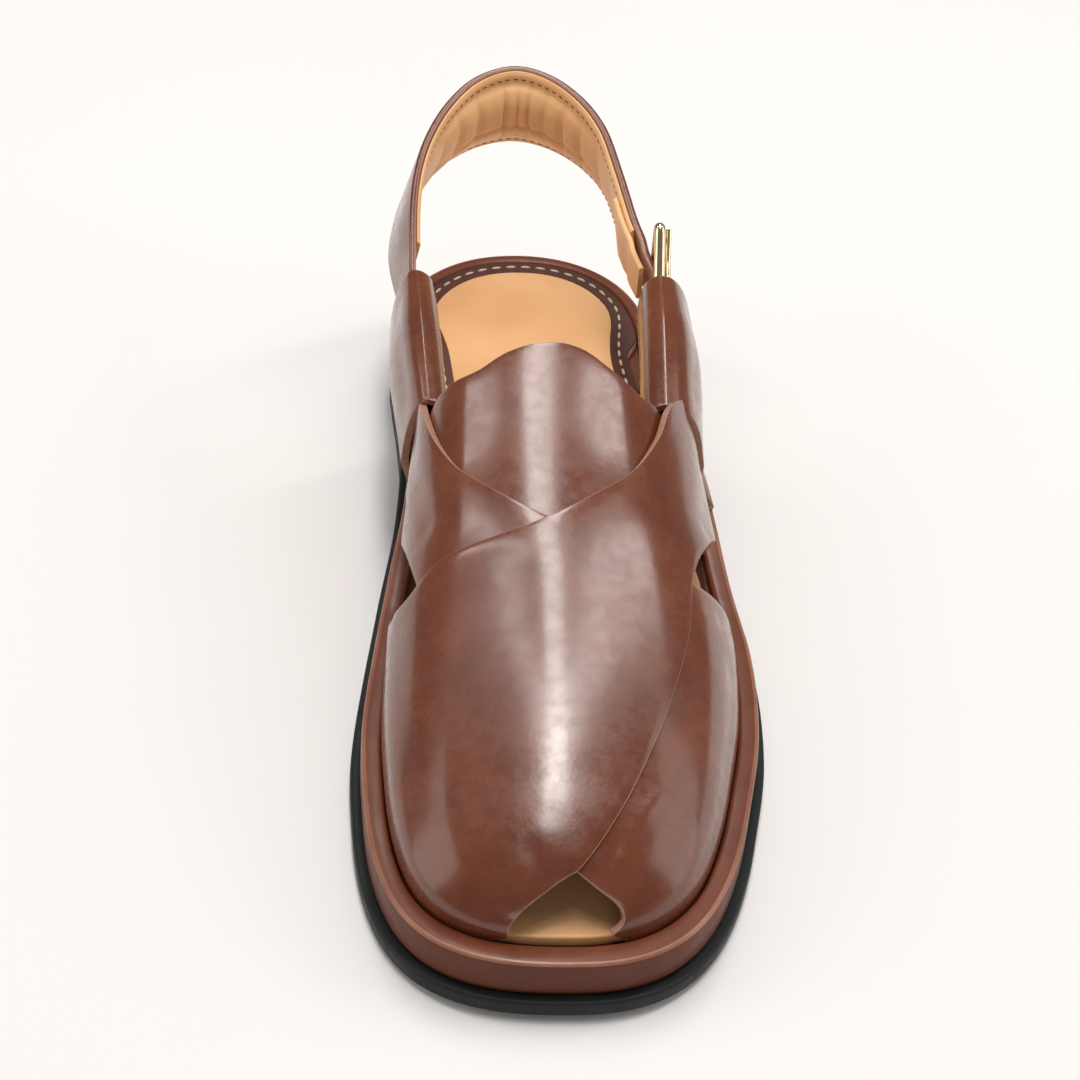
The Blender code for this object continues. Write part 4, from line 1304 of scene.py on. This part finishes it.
def wire(name, points, diameter, closed, material):
    line = bpy.data.curves.new(name, "CURVE")
    line.dimensions = "3D"
    line.bevel_depth = diameter / 2
    line.bevel_resolution = WIRE_ROUNDS
    line.use_fill_caps = not closed
    spline = line.splines.new("POLY")
    spline.points.add(len(points) - 1)
    for control, point in zip(spline.points, points):
        control.co = (*point, 1)
    spline.use_cyclic_u = closed
    spline.use_smooth = True
    line.materials.append(material)
    obj = bpy.data.objects.new(name, line)
    bpy.context.scene.collection.objects.link(obj)
    obj.location = SHIFT
    return obj


def make_buckle(metal):
    points = rounded_corners(buckle_corners(), BUCKLE_CORNER, CORNER_STEPS)
    finished(wire("buckle_wire", points, BUCKLE_WIRE, True, metal), "buckle_frame")
    start, end = prong_ends()
    radius = start.x - buckle_x()
    bar = start - Vector((radius, 0, 0))
    hook = []
    for step in range(HOOK_STEPS):
        turn = math.pi * mix(HOOK_START, 2, step / HOOK_STEPS)
        hook.append(bar + Vector((radius * math.cos(turn), radius * math.sin(turn), 0)))
    finished(wire("prong_wire", [*hook, start, end], PRONG_WIRE, False, metal), "buckle_prong")


def keep_node(node, material):
    """Gives a carried-over CAD node its own material."""
    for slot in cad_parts[node].material_slots:
        slot.link = "OBJECT"
        slot.material = material


def make_floor():
    bm = bmesh.new()
    bmesh.ops.create_grid(bm, x_segments=4, y_segments=4, size=FLOOR_SIZE)
    floor = as_object("floor", bm, [floor_look()])
    floor.location = (0, 0, 0)


def make_camera():
    """The photograph's place and turn, swung round to the middle of this one shoe."""
    place = Vector(CAMERA_PLACE)
    was = Vector(PHOTO_AIM) - place
    aim = Vector(SHOE_AIM) - place
    turn = was.rotation_difference(aim).to_matrix() @ was.to_track_quat("-Z", "Y").to_matrix()
    turn = turn @ Matrix.Rotation(CAMERA_ROLL, 3, "Z")
    data = bpy.data.cameras.new("camera")
    data.lens = LENS
    data.sensor_width = SENSOR
    camera = bpy.data.objects.new("camera", data)
    camera.matrix_world = Matrix.Translation(place) @ turn.to_4x4()
    bpy.context.scene.collection.objects.link(camera)
    bpy.context.scene.camera = camera


def make_lights():
    for index, (x, y, z, at_x, at_y, width, length, watts) in enumerate(LIGHTS[1:]):
        data = bpy.data.lights.new(f"light_{index}", "AREA")
        data.shape = "RECTANGLE"
        data.size = width
        data.size_y = length
        data.energy = watts
        data.color = LIGHT_TONE
        light = bpy.data.objects.new(f"light_{index}", data)
        light.location = (x, y, z)
        towards = Vector((at_x, at_y, 0)) - light.location
        light.rotation_euler = towards.to_track_quat("-Z", "Y").to_euler()
        bpy.context.scene.collection.objects.link(light)
    world = bpy.data.worlds.new("studio")
    world.use_nodes = True
    world.node_tree.nodes["Background"].inputs["Strength"].default_value = WORLD_STRENGTH
    world.node_tree.nodes["Background"].inputs["Color"].default_value = (1, 1, 1, 1)
    bpy.context.scene.world = world
    bpy.context.scene.view_settings.view_transform = "Standard"


def outline_low():
    """The lowest corner of the sole's outline, at the fineness that the solids have."""
    turns = [-math.pi + 2 * math.pi * (index + 0.5) / SOLID_STEPS for index in range(SOLID_STEPS)]
    points = [edge_point(turn, 0.0) for turn in turns]
    return Vector((min(point.x for point in points), min(point.y for point in points), 0.0))


SHIFT = Vector((*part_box("outsole")[0][:2], 0.0)) - outline_low()

leather = polished_leather("strap_leather", POLISHED_BROWN, DEEP_BROWN, 0.24, 0.45)
rim_leather = polished_leather("rim_leather", POLISHED_BROWN, DEEP_BROWN, 0.38, 0.12, 0.35)
side_leather = polished_leather("side_leather", RED_BROWN, DEEP_BROWN, 0.45, 0.04, 0.25)
# Painted highlight for the midsole's rounded outer edge
rim_highlight = polished_leather("rim_highlight", RIM_HIGHLIGHT, POLISHED_BROWN, 0.36, 0.2)
edge_leather = cut_edge_leather()
insole_leather = lining_leather("insole_leather", wrinkled=0.25, depth=0.00006)
pad_leather = lining_leather("pad_leather", wrinkled=0.75, depth=0.0003)
band_leather = polished_leather("band_leather", BAND_BROWN, DEEP_BROWN, 0.45, 0.1)
rubber = rubber_look()
gold = gold_look()
cream_thread = thread_look("cream_thread", CREAM)
dark_thread = thread_look("dark_thread", DARK_THREAD)

make_sole(rim_leather, side_leather, rim_highlight, insole_leather, band_leather, rubber, cream_thread)
crossed_strap("under_strap", UNDER_STRAP, UNDER_CREASES, 0.0, [leather, edge_leather])
crossed_strap("top_strap", TOP_STRAP, TOP_CREASES, STRAP_LAP, [leather, edge_leather])
make_sleeve(INNER, [leather, edge_leather])
make_sleeve(OUTER, [leather, edge_leather])
make_tongue([leather, edge_leather])
make_heel_strap(leather, edge_leather)
make_heel_lining(pad_leather, dark_thread)
make_guard(insole_leather)
make_buckle(gold)
keep_node("heel", rubber)
keep_node("buckle_tab", leather)
make_floor()
make_camera()
make_lights()
